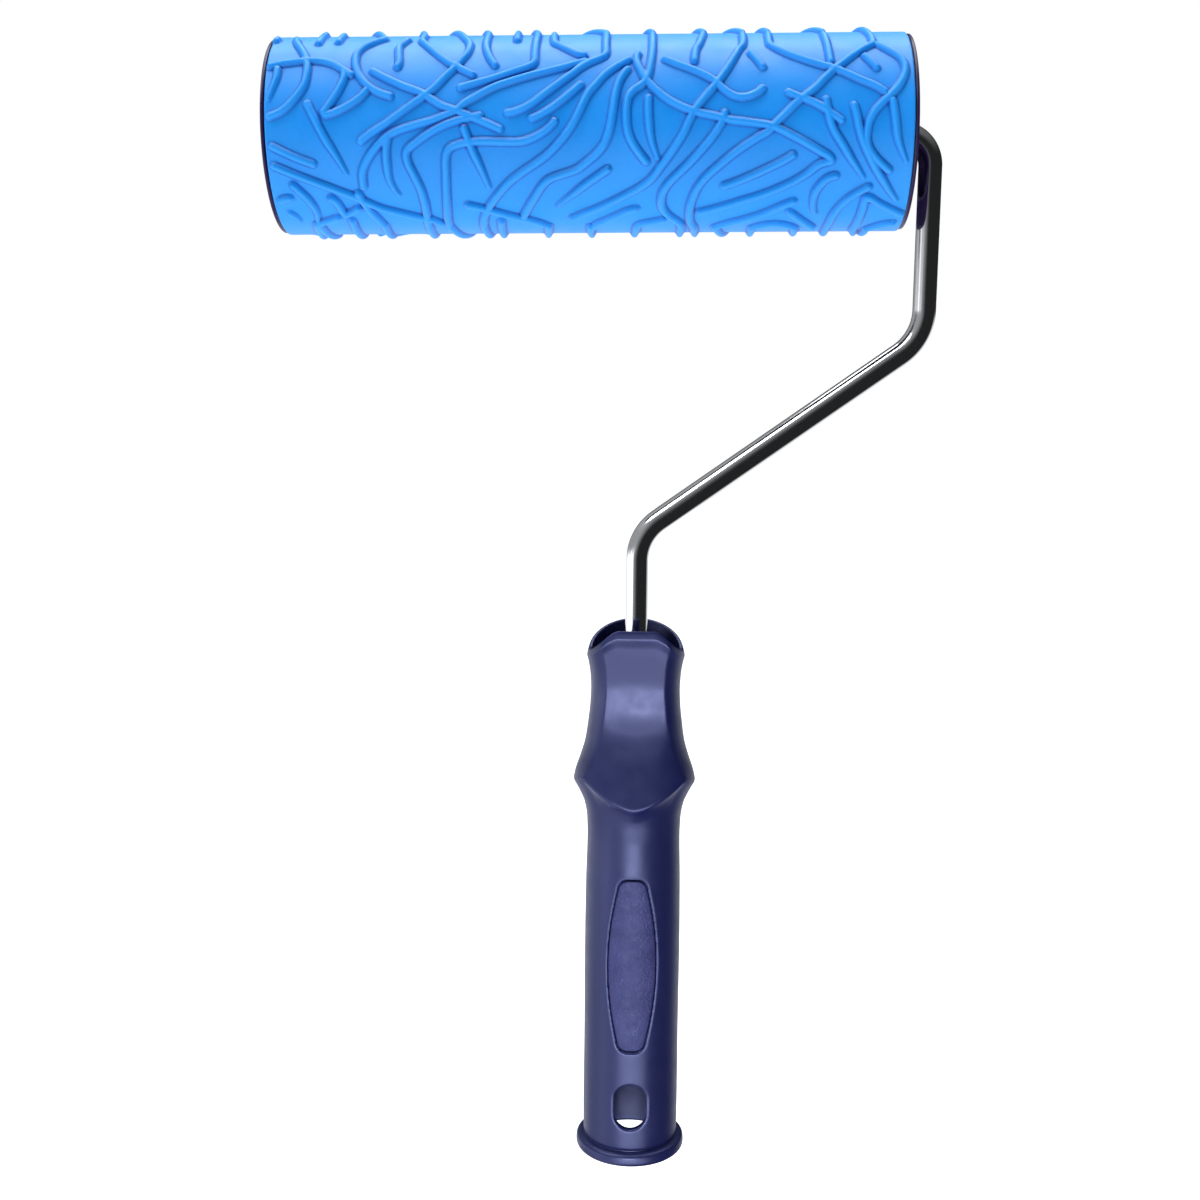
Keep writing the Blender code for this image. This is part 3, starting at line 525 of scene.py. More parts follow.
def ridge_line(points):
    """A ridge's curve on the sleeve laid flat, in millimetres."""
    along, angle = np.array(points, float).T
    angle = angle - UPPER_DROP * np.clip((angle - UPPER_FROM) / UPPER_FADE, 0, 1) * (angle < 90)
    rear = np.abs(angle) > 90
    half_turn = np.sign(angle) * 180
    along, angle = on_crest(np.where(rear, -along, along), np.where(rear, half_turn - angle, angle))
    along, angle = np.where(rear, -along, along), np.where(rear, half_turn - angle, angle)
    return smooth_line(np.column_stack([along, angle / 360 * CIRCUMFERENCE]))


def ridge_height(distance, size):
    """Height of a ridge of a relative size at a distance from its middle line."""
    inside = np.clip(1 - (distance / (RIDGE_HALF * size)) ** 2, 0, None)
    return RIDGE_RISE * size * inside ** RIDGE_SHAPE


def raise_ridge(relief, line, tapered):
    """Adds one ridge to the relief, softly joined to what it crosses."""
    run = distances_along(line)
    margin = RIDGE_HALF + CELL
    low_row = max(0, math.floor((line[:, 0].min() - margin + SLEEVE_LENGTH / 2) / ROW_STEP))
    high_row = min(ROWS, math.ceil((line[:, 0].max() + margin + SLEEVE_LENGTH / 2) / ROW_STEP) + 1)
    low_column = math.floor((line[:, 1].min() - margin) / COLUMN_STEP)
    high_column = math.ceil((line[:, 1].max() + margin) / COLUMN_STEP) + 1
    along = np.arange(low_row, high_row) * ROW_STEP - SLEEVE_LENGTH / 2
    around = np.arange(low_column, high_column) * COLUMN_STEP
    own = np.zeros((len(along), len(around)))
    for i, (start, end) in enumerate(zip(line, line[1:])):
        near = [slice(*np.searchsorted(axis, (min(a, b) - margin, max(a, b) + margin)))
                for axis, a, b in ((along, start[0], end[0]), (around, start[1], end[1]))]
        window = own[near[0], near[1]]
        if not window.size:
            continue
        du = along[near[0]][:, None] - start[0]
        dv = around[near[1]][None, :] - start[1]
        step = end - start
        share = np.clip((du * step[0] + dv * step[1]) / max(step @ step, 1e-9), 0, 1)
        distance = np.hypot(du - share * step[0], dv - share * step[1])
        size = 1.0
        if tapered:
            left = run[-1] - run[i] - share * (run[i + 1] - run[i])
            size = TAPER_END + (1 - TAPER_END) * np.clip(left / TAPER_LENGTH, 0, 1)
        np.maximum(window, ridge_height(distance, size), out=window)
    columns = np.arange(low_column, high_column) % COLUMNS
    there = relief[low_row:high_row][:, columns]
    both = np.minimum(there, own)
    soft = np.minimum(RIDGE_JOIN, both) + 1e-6
    rise = np.clip(soft - np.abs(there - own), 0, None) ** 2 / (4 * soft)
    relief[low_row:high_row, columns] = np.maximum(there, own) + rise


def make_relief():
    """Heights over the sleeve's ground. The rear half repeats the front half turned round."""
    relief = np.zeros((ROWS, COLUMNS))
    lines = [(trimmed(ridge_line(points)), False) for points in RIDGES]
    lines += [(ridge_line(points), False) for points in CROSSINGS]
    lines += [(trimmed(ridge_line(points)), True) for points in TAPERED_RIDGES]
    for line, tapered in lines:
        raise_ridge(relief, line, tapered)
        turned = np.column_stack([-line[:, 0], CIRCUMFERENCE / 2 - line[:, 1]])
        raise_ridge(relief, turned, tapered)
    return blur(relief, ROOT_BLUR / CELL)


def sample(grid, rows, columns):
    """Reads a grid between its points, round the roller without a seam."""
    row = np.clip(np.floor(rows).astype(int), 0, ROWS - 2)
    column = np.floor(columns).astype(int)
    across, over = rows - row, columns - column
    left, right = column % COLUMNS, (column + 1) % COLUMNS
    return ((grid[row, left] * (1 - over) + grid[row, right] * over) * (1 - across)
            + (grid[row + 1, left] * (1 - over) + grid[row + 1, right] * over) * across)


def make_sleeve(finish):
    relief = make_relief()
    along = np.linspace(-SLEEVE_LENGTH / 2, SLEEVE_LENGTH / 2, ROWS)
    inset = np.clip(SLEEVE_EDGE - (SLEEVE_LENGTH / 2 - np.abs(along)), 0, None)
    edge = SLEEVE_EDGE - np.sqrt(SLEEVE_EDGE ** 2 - inset ** 2)
    radius = GROUND_RADIUS + relief - edge[:, None]
    angle = np.arange(0, COLUMNS, 2) / COLUMNS * 2 * math.pi

    inner = np.full((2, COLUMNS // 2), SLEEVE_INSIDE)
    skin = np.vstack([radius[::2, ::2], inner])
    places = np.concatenate([along[::2], [along[-1], along[0]]])
    points = np.stack([np.broadcast_to(places[:, None], skin.shape),
                       -skin * np.cos(angle), skin * np.sin(angle)], axis=-1)
    mesh = grid_mesh("sleeve", on_roller(points[:, ::-1]), closed_rows=True)
    set_sleeve_normals(mesh, relief, radius)
    sleeve = add_piece("sleeve", mesh, finish, "roller", "rubber_azure", "texture_sleeve")
    sleeve.visible_glossy = False       # or it would draw a blue line in the chrome


def set_sleeve_normals(mesh, relief, radius):
    """Shades the sleeve from its relief, and stores how deep each point lies beside ridges (for painted
    shade) and how high (for a painted highlight).
    """
    count = len(mesh.vertices)
    place = np.empty(count * 3)
    mesh.vertices.foreach_get("co", place)
    place = (place.reshape(-1, 3) / MM - ROLLER_MIDDLE) @ TILT.T
    angle = np.arctan2(place[:, 2], -place[:, 1])
    rows = (place[:, 0] + SLEEVE_LENGTH / 2) / ROW_STEP
    columns = angle / (2 * math.pi) * COLUMNS
    lean_along = np.gradient(radius, ROW_STEP, axis=0)
    lean_around = (np.roll(radius, -1, axis=1) - np.roll(radius, 1, axis=1)) / (2 * COLUMN_STEP)
    slope = sample(lean_along, rows, columns)
    twist = sample(lean_around, rows, columns)
    cos, sin = np.cos(angle), np.sin(angle)
    normal = np.column_stack([-slope, -cos - twist * sin, sin - twist * cos])
    normal = normal @ TILT / np.linalg.norm(normal, axis=1)[:, None]

    corners = np.empty(len(mesh.loops), int)
    mesh.loops.foreach_get("vertex_index", corners)
    faces = len(mesh.polygons)
    facing, totals = np.empty(faces * 3), np.empty(faces, int)
    mesh.polygons.foreach_get("normal", facing)
    mesh.polygons.foreach_get("loop_total", totals)
    facing = np.repeat(facing.reshape(-1, 3), totals, axis=0)
    outward = np.einsum("ij,ij->i", facing, normal[corners]) > 0.5
    shaded = np.where(outward[:, None], normal[corners], facing)
    mesh.shade_smooth()
    mesh.normals_split_custom_set(shaded.tolist())

    # Depth below the blurred relief beside ridges, which the rubber is darkened by as painted shade; the
    # ridges' height lightens their tops as a painted highlight.
    cavity = np.clip(blur(relief, CREASE_SHADE_BLUR / CELL) - relief, 0, None) / RIDGE_RISE
    for name, grid in (("cavity", cavity), ("crest", relief / RIDGE_RISE)):
        stored = mesh.attributes.new(name, "FLOAT", "POINT")
        stored.data.foreach_set("value", sample(grid, rows, columns).astype(np.float32))


# ------------------------------------------------------------ handle

def as_section(radius, height, spacing):
    corner = radius * math.sqrt(0.5)
    return ((radius, height), (corner, corner, height), (radius, height), (radius, height),
            0.0, spacing)


def monotone(knots, values, at):
    """Columns of values read at places along a curve that never overshoots its knots."""
    gap = np.diff(knots)[:, None]
    slope = np.diff(values, axis=0) / gap
    product = slope[:-1] * slope[1:]
    total = slope[:-1] + slope[1:]
    tangent = np.zeros_like(values)
    tangent[0], tangent[-1] = slope[0], slope[-1]
    tangent[1:-1] = np.where(product > 0, 2 * product / np.where(product > 0, total, 1), 0)
    i = np.clip(np.searchsorted(knots, at, side="right") - 1, 0, len(knots) - 2)
    h = gap[i]
    t = (at - knots[i])[:, None] / h
    return (values[i] * (1 + 2 * t) * (1 - t) ** 2 + tangent[i] * h * t * (1 - t) ** 2
            + values[i + 1] * t * t * (3 - 2 * t) + tangent[i + 1] * h * t * t * (t - 1))


def skin_sections():
    """Every section of the handle's skin as a row of numbers, at the mesh's spacing."""
    sections = [as_section(*row) for row in ROUND_SKIN_BELOW]
    sections += SHAPED_SKIN
    sections += [as_section(*row) for row in ROUND_SKIN_ABOVE]
    rows = [[*front, *corner, *side, *rear, level, spacing]
            for front, corner, side, rear, level, spacing in sections]
    values = []
    for before, row, after in zip([rows[0]] + rows, rows, rows[1:] + rows[-1:]):
        here, back, on = np.array(row), np.array(before), np.array(after)
        if row[1] in SHARP_HEIGHTS:
            back[-1] = on[-1] = here[-1]
            values += [here + SHARPNESS * (back - here), here, here + SHARPNESS * (on - here)]
        else:
            values.append(here)
    values = np.array(values)
    spacing, values = values[:, -1], values[:, :-1]
    outline = values[:, [0, 1, 5, 6, 7, 8]]
    knots = distances_along(outline) / math.sqrt(3)
    places = []
    for start, end, step in zip(knots, knots[1:], spacing):
        steps = max(1, round((end - start) / (step * SKIN_STEP)))
        places.append(np.linspace(start, end, steps, endpoint=False))
    places = np.concatenate(places + [knots[-1:]])
    return monotone(knots, values, places)


def skin_points():
    """The handle's skin as a grid of points, its rings anticlockwise seen from above."""
    numbers = skin_sections().T[:, :, None]
    front, front_z, corner_x, corner_y, corner_z, side, side_z, rear, rear_z, level = numbers
    share = np.arange(FACET_STEPS) / FACET_STEPS
    depth = np.sqrt(front ** 2 - (front ** 2 - corner_y ** 2) * share ** 2)
    fall = np.clip((share - level) / (1 - level), 0, None) ** GUARD_CURVE
    facet = (corner_x * share, -depth, front_z + (corner_z - front_z) * fall)

    start = np.arcsin(np.clip(corner_x / side, 0, 1))
    angle = start + (math.pi / 2 - start) * np.arange(FLANK_STEPS) / FLANK_STEPS
    x = side * np.sin(angle)
    past = (x - corner_x) / (side - corner_x)
    flank = (x, -corner_y / np.cos(start) * np.cos(angle), corner_z + (side_z - corner_z) * past)

    angle = math.pi / 2 * np.arange(REAR_STEPS + 1) / REAR_STEPS
    lift = (rear_z - side_z) * np.sin(angle)
    back = (side * np.cos(angle), rear * np.sin(angle), side_z + lift)

    half = np.concatenate([np.stack(np.broadcast_arrays(*part), axis=-1)
                           for part in (facet, flank, back)], axis=1)
    mirrored = half[:, -2:0:-1] * (-1, 1, 1)
    points = np.concatenate([half, mirrored], axis=1)
    return round_skin(points)


def round_skin(points):
    """Rounds the skin's edges, but leaves the socket's and the bore's walls alone."""
    soft = blur_rows(points, SKIN_ROUNDING, wrap=False)
    soft = np.swapaxes(blur_rows(np.swapaxes(soft, 0, 1), SKIN_ROUNDING, wrap=True), 0, 1)
    reach = np.hypot(points[..., 0], points[..., 1])
    height = points[..., 2]
    inside = (reach < SOCKET_WITHIN) & (height < SOCKET_BELOW) | (reach < BORE_WITHIN)
    return np.where(inside[..., None], points, soft)


def slot_outline(inset=0.0):
    points, half = [], SLOT_HALF - inset
    for centre, start in ((SLOT_TOP - SLOT_HALF, 0.0), (SLOT_BOTTOM + SLOT_HALF, math.pi)):
        for angle in np.linspace(start, start + math.pi, SLOT_END_STEPS):
            points.append((half * math.cos(angle), centre + half * math.sin(angle)))
    return np.array(points)


def panel_outline(inset):
    """The grip panel: bowed sides and blunt ends with rounded corners, less the inset."""
    half_height = (PANEL_TOP - PANEL_BOTTOM) / 2 - inset
    corner = PANEL_CORNER - inset
    shoulder = half_height - corner
    end_width = PANEL_END_HALF_WIDTH - inset
    share = np.linspace(0, 1, PANEL_SIDE_STEPS, endpoint=False)
    side = np.column_stack([
        end_width + (PANEL_HALF_WIDTH - PANEL_END_HALF_WIDTH) * (1 - share ** 2), shoulder * share])
    angle = np.linspace(0, math.pi / 2, PANEL_BEND_STEPS)
    bend = np.column_stack([end_width - corner + corner * np.cos(angle),
                            shoulder + corner * np.sin(angle)])
    quarter = np.vstack([side, bend])
    upper = np.vstack([quarter, quarter[::-1] * (-1, 1)])
    lower = (upper * (1, -1))[::-1][1:-1]
    return np.vstack([upper, lower]) + (0, (PANEL_TOP + PANEL_BOTTOM) / 2)


def outline_distance(x, z, outline):
    """Distance outside a closed outline, and nought inside it."""
    start, end = outline, np.roll(outline, -1, axis=0)
    step = end - start
    du, dv = x[:, None] - start[:, 0], z[:, None] - start[:, 1]
    share = np.clip((du * step[:, 0] + dv * step[:, 1]) / (step ** 2).sum(axis=1), 0, 1)
    distance = np.hypot(du - share * step[:, 0], dv - share * step[:, 1]).min(axis=1)
    crossed = (start[:, 1] > z[:, None]) != (end[:, 1] > z[:, None])
    tall = np.where(step[:, 1] == 0, 1, step[:, 1])
    right = du < dv / tall * step[:, 0]
    return np.where((crossed & right).sum(axis=1) % 2 == 1, 0.0, distance)


def add_lips(points):
    """Rolls the grip's surface inwards round the slot and the panels."""
    x, y, z = points.reshape(-1, 3).T
    reach = np.hypot(x, y)
    grip = (reach > LIP_INSIDE) & (z > LIP_LOW) & (z < LIP_HIGH) & (np.abs(x) < LIP_HALF_WIDTH)
    pressed = np.zeros(len(x))
    for outline, lip in ((slot_outline(), SLOT_LIP), (panel_outline(0.0), PANEL_LIP)):
        away = outline_distance(x[grip], z[grip], outline)
        short = np.clip(lip - away, 0, lip)
        pressed[grip] = np.maximum(pressed[grip], lip - np.sqrt(lip ** 2 - short ** 2))
    scale = 1 - pressed / np.maximum(reach, 1)
    return np.column_stack([x * scale, y * scale, z]).reshape(points.shape)


def prism(name, outline, near, far):
    """An outline in X and Z made solid between two depths in Y."""
    count = len(outline)
    ends = [np.column_stack([outline[:, 0], np.full(count, y), outline[:, 1]]) for y in (near, far)]
    faces = [[i, (i + 1) % count, count + (i + 1) % count, count + i] for i in range(count)]
    faces += [list(range(count))[::-1], list(range(count, 2 * count))]
    mesh = bpy.data.meshes.new(name)
    mesh.from_pydata((np.vstack(ends) * MM).tolist(), [], faces)
    return mesh


def panel_cutter(name, facing):
    """Cuts the panel's pocket down to its curved floor."""
    outline = panel_outline(0.0)
    middle = (PANEL_TOP + PANEL_BOTTOM) / 2
    rings = []
    for share in np.linspace(POCKET_HUB, 1, POCKET_RINGS):
        ring = (outline - (0, middle)) * share + (0, middle)
        depth = np.sqrt(PANEL_FLOOR ** 2 - ring[:, 0] ** 2)
        rings.append(np.column_stack([ring[:, 0], facing * depth, ring[:, 1]]))
    far = np.full(len(outline), facing * CUTTER_REACH)
    rings.append(np.column_stack([outline[:, 0], far, outline[:, 1]]))
    shrink = (POCKET_HUB, 1, POCKET_HUB)
    rings.append((rings[-1] - (0, 0, middle)) * shrink + (0, 0, middle))
    mesh = grid_mesh(name, np.array(rings))
    close_ends(mesh, len(outline))
    return mesh


def make_handle(finish):
    points = add_lips(skin_points())
    skin = grid_mesh("handle_skin", points)
    close_ends(skin, points.shape[1])
    body = add_object("handle_skin", skin)
    rear_slot = slot_outline(REAR_SLOT_INSET)
    cutters = [add_object(cutter.name, cutter) for cutter in (
        prism("slot_cut", slot_outline(), -CUTTER_REACH, 0.0),
        prism("rear_slot_cut", rear_slot, 0.0, CUTTER_REACH),
        panel_cutter("front_cut", -1), panel_cutter("back_cut", 1))]
    for cutter in cutters:
        turn_faces_out(cutter.data)
        cut = body.modifiers.new(cutter.name, "BOOLEAN")
        cut.operation = "DIFFERENCE"
        cut.solver = "EXACT"
        cut.object = cutter
    mesh = applied(body, "handle")
    for helper in [body] + cutters:
        drop(helper)
    mesh.transform(Matrix.Translation((HANDLE_X * MM, 0, 0)))
    soften(mesh, HANDLE_SHARP)
    add_piece("handle", mesh, finish, "frame", "plastic_navy", "handle_body")


def make_pad(side, facing, finish):
    """A grip pad with rolled edges, its face on the grip's curve."""
    middle = (PANEL_TOP + PANEL_BOTTOM) / 2
    rings = [(panel_outline(PAD_GAP + inset), radius) for inset, radius in PAD_RINGS]
    last = rings[-1][0] - (0, middle)
    for share in PAD_SHARES:
        rings.append((last * share + (0, middle), PAD_FACE))
    points = []
    for outline, radius in rings:
        depth = np.sqrt(radius ** 2 - outline[:, 0] ** 2)
        points.append(np.column_stack([outline[:, 0] + HANDLE_X, facing * depth, outline[:, 1]]))
    mesh = grid_mesh(f"pad_{side}", np.array(points))
    close_ends(mesh, len(points[0]))
    soften(mesh, PAD_SHARP)
    add_piece(f"pad_{side}", mesh, finish, "frame", "pad_navy", f"grip_pad_{side}")


# ------------------------------------------------------------ rod

def rod_path():
    upright = float(ROD_HIGH[0]) - ROD_RADIUS
    corner_z = AXLE_Z + (upright - ROLLER_X) * math.tan(AXLE_TILT)
    corners = [Vector(point) for point in (
        on_roller(np.array([ROD_MARGIN - ROLLER_HALF, 0, 0])), (upright, 0, corner_z),
        (upright, 0, SHOULDER_Z), (HANDLE_X, 0, NECK_Z), (HANDLE_X, 0, float(ROD_LOW[2])))]
    path = [corners[0]]
    for before, corner, after, radius in zip(corners, corners[1:], corners[2:], ROD_BENDS):
        back = (before - corner).normalized()
        ahead = (after - corner).normalized()
        half = back.angle(ahead) / 2
        start = corner + back * (radius / math.tan(half))
        centre = corner + (back + ahead).normalized() * (radius / math.sin(half))
        sweep = math.pi - 2 * half
        for i in range(BEND_STEPS + 1):
            turned = Matrix.Rotation(-sweep * i / BEND_STEPS, 3, back.cross(ahead)) @ (start - centre)
            path.append(centre + turned)
    return path + [corners[-1]]


def make_rod(finish):
    path = rod_path()
    stations = []
    for end, inwards in ((path[0], (path[1] - path[0]).normalized()),
                         (path[-1], (path[-2] - path[-1]).normalized())):
        tip = []
        for angle in np.linspace(0, math.pi / 2, TIP_STEPS):
            shrunk = ROD_RADIUS - ROD_TIP * (1 - math.sin(angle))
            tip.append((end + inwards * (ROD_TIP * (1 - math.cos(angle))), shrunk))
        stations.append(tip)
    middle = [(point, ROD_RADIUS) for point in path[1:-1]]
    stations = stations[0] + middle + stations[1][::-1]
    angle = np.arange(ROD_SIDES) / ROD_SIDES * 2 * math.pi
    rings = []
    for i, (centre, radius) in enumerate(stations):
        before = stations[max(i - 1, 0)][0]
        after = stations[min(i + 1, len(stations) - 1)][0]
        tangent = (after - before).normalized()
        across = tangent.cross(Vector((0, 1, 0)))
        rings.append(np.array(centre) + radius * (
            np.cos(angle)[:, None] * np.array(across) + np.sin(angle)[:, None] * np.array((0, 1, 0))))
    mesh = grid_mesh("rod", np.array(rings))
    close_ends(mesh, ROD_SIDES)
    soften(mesh, ROD_SHARP)
    add_piece("rod", mesh, finish, "frame", "chrome", "frame_rod")


# ------------------------------------------------------------ turned pieces

def rounded(profile, radius, steps=4):
    """A closed profile with its corners rounded as far as its sides allow."""
    profile = [Vector(point) for point in profile]
    points = []
    for before, corner, after in zip(profile[-1:] + profile[:-1], profile, profile[1:] + profile[:1]):
        back, ahead = before - corner, after - corner
        bend = back.angle(ahead)
        reach = min(radius / math.tan(bend / 2), CORNER_SHARE * min(back.length, ahead.length))
        if bend > STRAIGHT:
            points.append(corner)
            continue
        start, end = corner + back.normalized() * reach, corner + ahead.normalized() * reach
        for i in range(steps + 1):
            share = i / steps
            points.append(start * (1 - share) ** 2 + corner * 2 * share * (1 - share) + end * share ** 2)
    return [tuple(point) for point in points]


def turned(shape, profile, place, start=0.0, sweep=2 * math.pi):
    """Adds a closed (radius, outward) profile turned about the axle to a bmesh."""
    whole = sweep >= 2 * math.pi
    steps = max(4, round(TURN_STEPS * sweep / (2 * math.pi)))
    loops = []
    for i in range(steps if whole else steps + 1):
        angle = start + sweep * i / steps
        loops.append([shape.verts.new(place(r, angle, out)) for r, out in profile])
    pairs = list(zip(loops, loops[1:] + loops[:1])) if whole else list(zip(loops, loops[1:]))
    made = []
    for here, there in pairs:
        for a, b, c, d in zip(here, here[1:] + here[:1], there[1:] + there[:1], there):
            made.append(shape.faces.new((a, b, c, d)))
    if not whole:
        made.append(shape.faces.new(loops[0]))
        made.append(shape.faces.new(loops[-1][::-1]))
    bmesh.ops.recalc_face_normals(shape, faces=made)


def at_end(direction, depth):
    """Places (radius, angle, outward) at one end of the roller, below the cap's rim."""
    def place(radius, angle, outward):
        along = direction * (ROLLER_HALF - depth + outward)
        point = np.array([along, radius * math.cos(angle), radius * math.sin(angle)])
        return Vector(on_roller(point)) * MM
    return place


def finish_turned(name, shape, finish, body, slot, node):
    mesh = bpy.data.meshes.new(name)
    shape.to_mesh(mesh)
    shape.free()
    soften(mesh, TURNED_SHARP)
    add_piece(name, mesh, finish, body, slot, node)


def add_turned(name, profile, rounding, place, finish, body, slot, node):
    """A piece that is one rounded profile turned about the axle."""
    shape = bmesh.new()
    turned(shape, rounded(profile, rounding), place)
    finish_turned(name, shape, finish, body, slot, node)


def ring(inner, outer, length):
    return [(outer, length), (outer, 0.0), (inner, 0.0), (inner, length)]


def make_cap(side, direction, finish):
    spigot = CORE_RADIUS - CORE_WALL - GAP
    inside = spigot - CAP_WALL
    bore = BUSH_RADIUS + GAP
    profile = [
        (inside, 0.0), (CAP_RADIUS, 0.0), (CAP_RADIUS, -CAP_RIM), (spigot, -CAP_RIM),
        (spigot, -CAP_SPIGOT), (inside, -CAP_SPIGOT), (inside, -CAP_WEB_DEPTH - CAP_WEB),
        (HUB_RADIUS, -CAP_WEB_DEPTH - CAP_WEB), (HUB_RADIUS, -HUB_END), (bore, -HUB_END),
        (bore, -HUB_DEPTH), (HUB_RADIUS, -HUB_DEPTH), (HUB_RADIUS, -CAP_WEB_DEPTH),
        (inside, -CAP_WEB_DEPTH)]
    shape = bmesh.new()
    place = at_end(direction, 0.0)
    turned(shape, rounded(profile, CAP_ROUNDING), place)
    middle = inside - BEAD_INSET
    bead = [(middle + BEAD_RADIUS * math.cos(a), -BEAD_DEPTH + BEAD_RADIUS * math.sin(a))
            for a in np.linspace(0, 2 * math.pi, BEAD_SIDES, endpoint=False)]
    turned(shape, bead, place)
    for i in range(CAP_RIBS):
        add_rib(shape, place, 2 * math.pi * i / CAP_RIBS, inside)
    finish_turned(f"cap_{side}", shape, finish, "roller", "cap_navy", f"end_cap_{side}")


def add_rib(shape, place, angle, reach):
    """A rib with a rounded back, from the hub to the cap's wall."""
    half, top = CAP_RIB_WIDTH / 2, -HUB_DEPTH - RIB_DROP
    side = [(half + RIB_DRAFT, -CAP_WEB_DEPTH - RIB_SINK), (half, top - RIB_ROUNDING),
            (half * RIB_BACK, top - RIB_BACK_FALL)]
    section = side + [(0, top)] + [(-across, height) for across, height in side[::-1]]
    ends = []
    for radius in (HUB_RADIUS - RIB_SINK, reach + RIB_SINK):
        ends.append([shape.verts.new(place(math.hypot(radius, w), angle + math.atan2(w, radius), h))
                     for w, h in section])
    made = [shape.faces.new((a, b, c, d)) for a, b, c, d in zip(
        ends[0], ends[0][1:] + ends[0][:1], ends[1][1:] + ends[1][:1], ends[1])]
    made += [shape.faces.new(ends[0]), shape.faces.new(ends[1][::-1])]
    bmesh.ops.recalc_face_normals(shape, faces=made)


def make_bush(side, direction, finish):
    profile = [
        (BUSH_BORE, BUSH_FLANGE), (BUSH_FLANGE_RADIUS, BUSH_FLANGE), (BUSH_FLANGE_RADIUS, 0.0),
        (BUSH_RADIUS, 0.0), (BUSH_RADIUS, -BUSH_LENGTH), (BUSH_BORE, -BUSH_LENGTH)]
    add_turned(f"bush_{side}", profile, BUSH_ROUNDING, at_end(direction, HUB_DEPTH - GAP),
               finish, "roller", "bush_white", f"bearing_bush_{side}")


def make_axle_hardware(side, direction, finish):
    washer_depth = HUB_DEPTH - 2 * GAP - BUSH_FLANGE
    washer = ring(BUSH_BORE, WASHER_RADIUS, WASHER_THICKNESS)
    add_turned(f"washer_{side}", washer, WASHER_ROUNDING, at_end(direction, washer_depth),
               finish, "frame", "zinc_steel", f"thrust_washer_{side}")
    place = at_end(direction, washer_depth - WASHER_THICKNESS - GAP)
    if side == "inner":
        collar = ring(ROD_RADIUS + GAP, COLLAR_RADIUS, COLLAR_LENGTH)
        add_turned("collar", collar, COLLAR_ROUNDING, place,
                   finish, "frame", "zinc_steel", "stop_collar")
    else:
        make_nut(place, finish)


def make_nut(place, finish):
    """A star washer: a folded rim, and teeth that bite on the axle."""
    shape = bmesh.new()
    teeth = ROD_RADIUS + GAP
    shoulder = teeth + NUT_SHOULDER * (NUT_RADIUS - teeth)
    fold = NUT_CROWN * NUT_FOLD
    outer = [(NUT_RADIUS, NUT_THICKNESS), (NUT_RADIUS, 0.0), (shoulder, fold),
             (shoulder, fold + NUT_THICKNESS)]
    turned(shape, rounded(outer, NUT_ROUNDING), place)
    root = shoulder + TOOTH_ROOT
    tooth = [(root, fold + NUT_THICKNESS - TOOTH_INSET), (root, fold),
             (teeth, NUT_CROWN), (teeth, NUT_CROWN + NUT_THICKNESS)]
    pitch = 2 * math.pi / NUT_TEETH
    for i in range(NUT_TEETH):
        turned(shape, tooth, place, start=pitch * i, sweep=pitch * TOOTH_WIDTH)
    finish_turned("nut", shape, finish, "frame", "zinc_steel", "push_nut")


# ------------------------------------------------------------ finishes

def add_node(tree, kind, **settings):
    node = tree.nodes.new(kind)
    for key, value in settings.items():
        setattr(node, key, value)
    return node


def map_range(tree, source, low, high, to_low, to_high, **settings):
    """A value moved from one range to another and held inside it."""
    node = add_node(tree, "ShaderNodeMapRange", clamp=True, **settings)
    for socket, value in (("From Min", low), ("From Max", high),
                          ("To Min", to_low), ("To Max", to_high)):
        node.inputs[socket].default_value = value
    tree.links.new(source, node.inputs["Value"])
    return node.outputs["Result"]


def combine(tree, operation, first, second):
    node = add_node(tree, "ShaderNodeMath", operation=operation)
    tree.links.new(first, node.inputs[0])
    tree.links.new(second, node.inputs[1])
    return node.outputs["Value"]


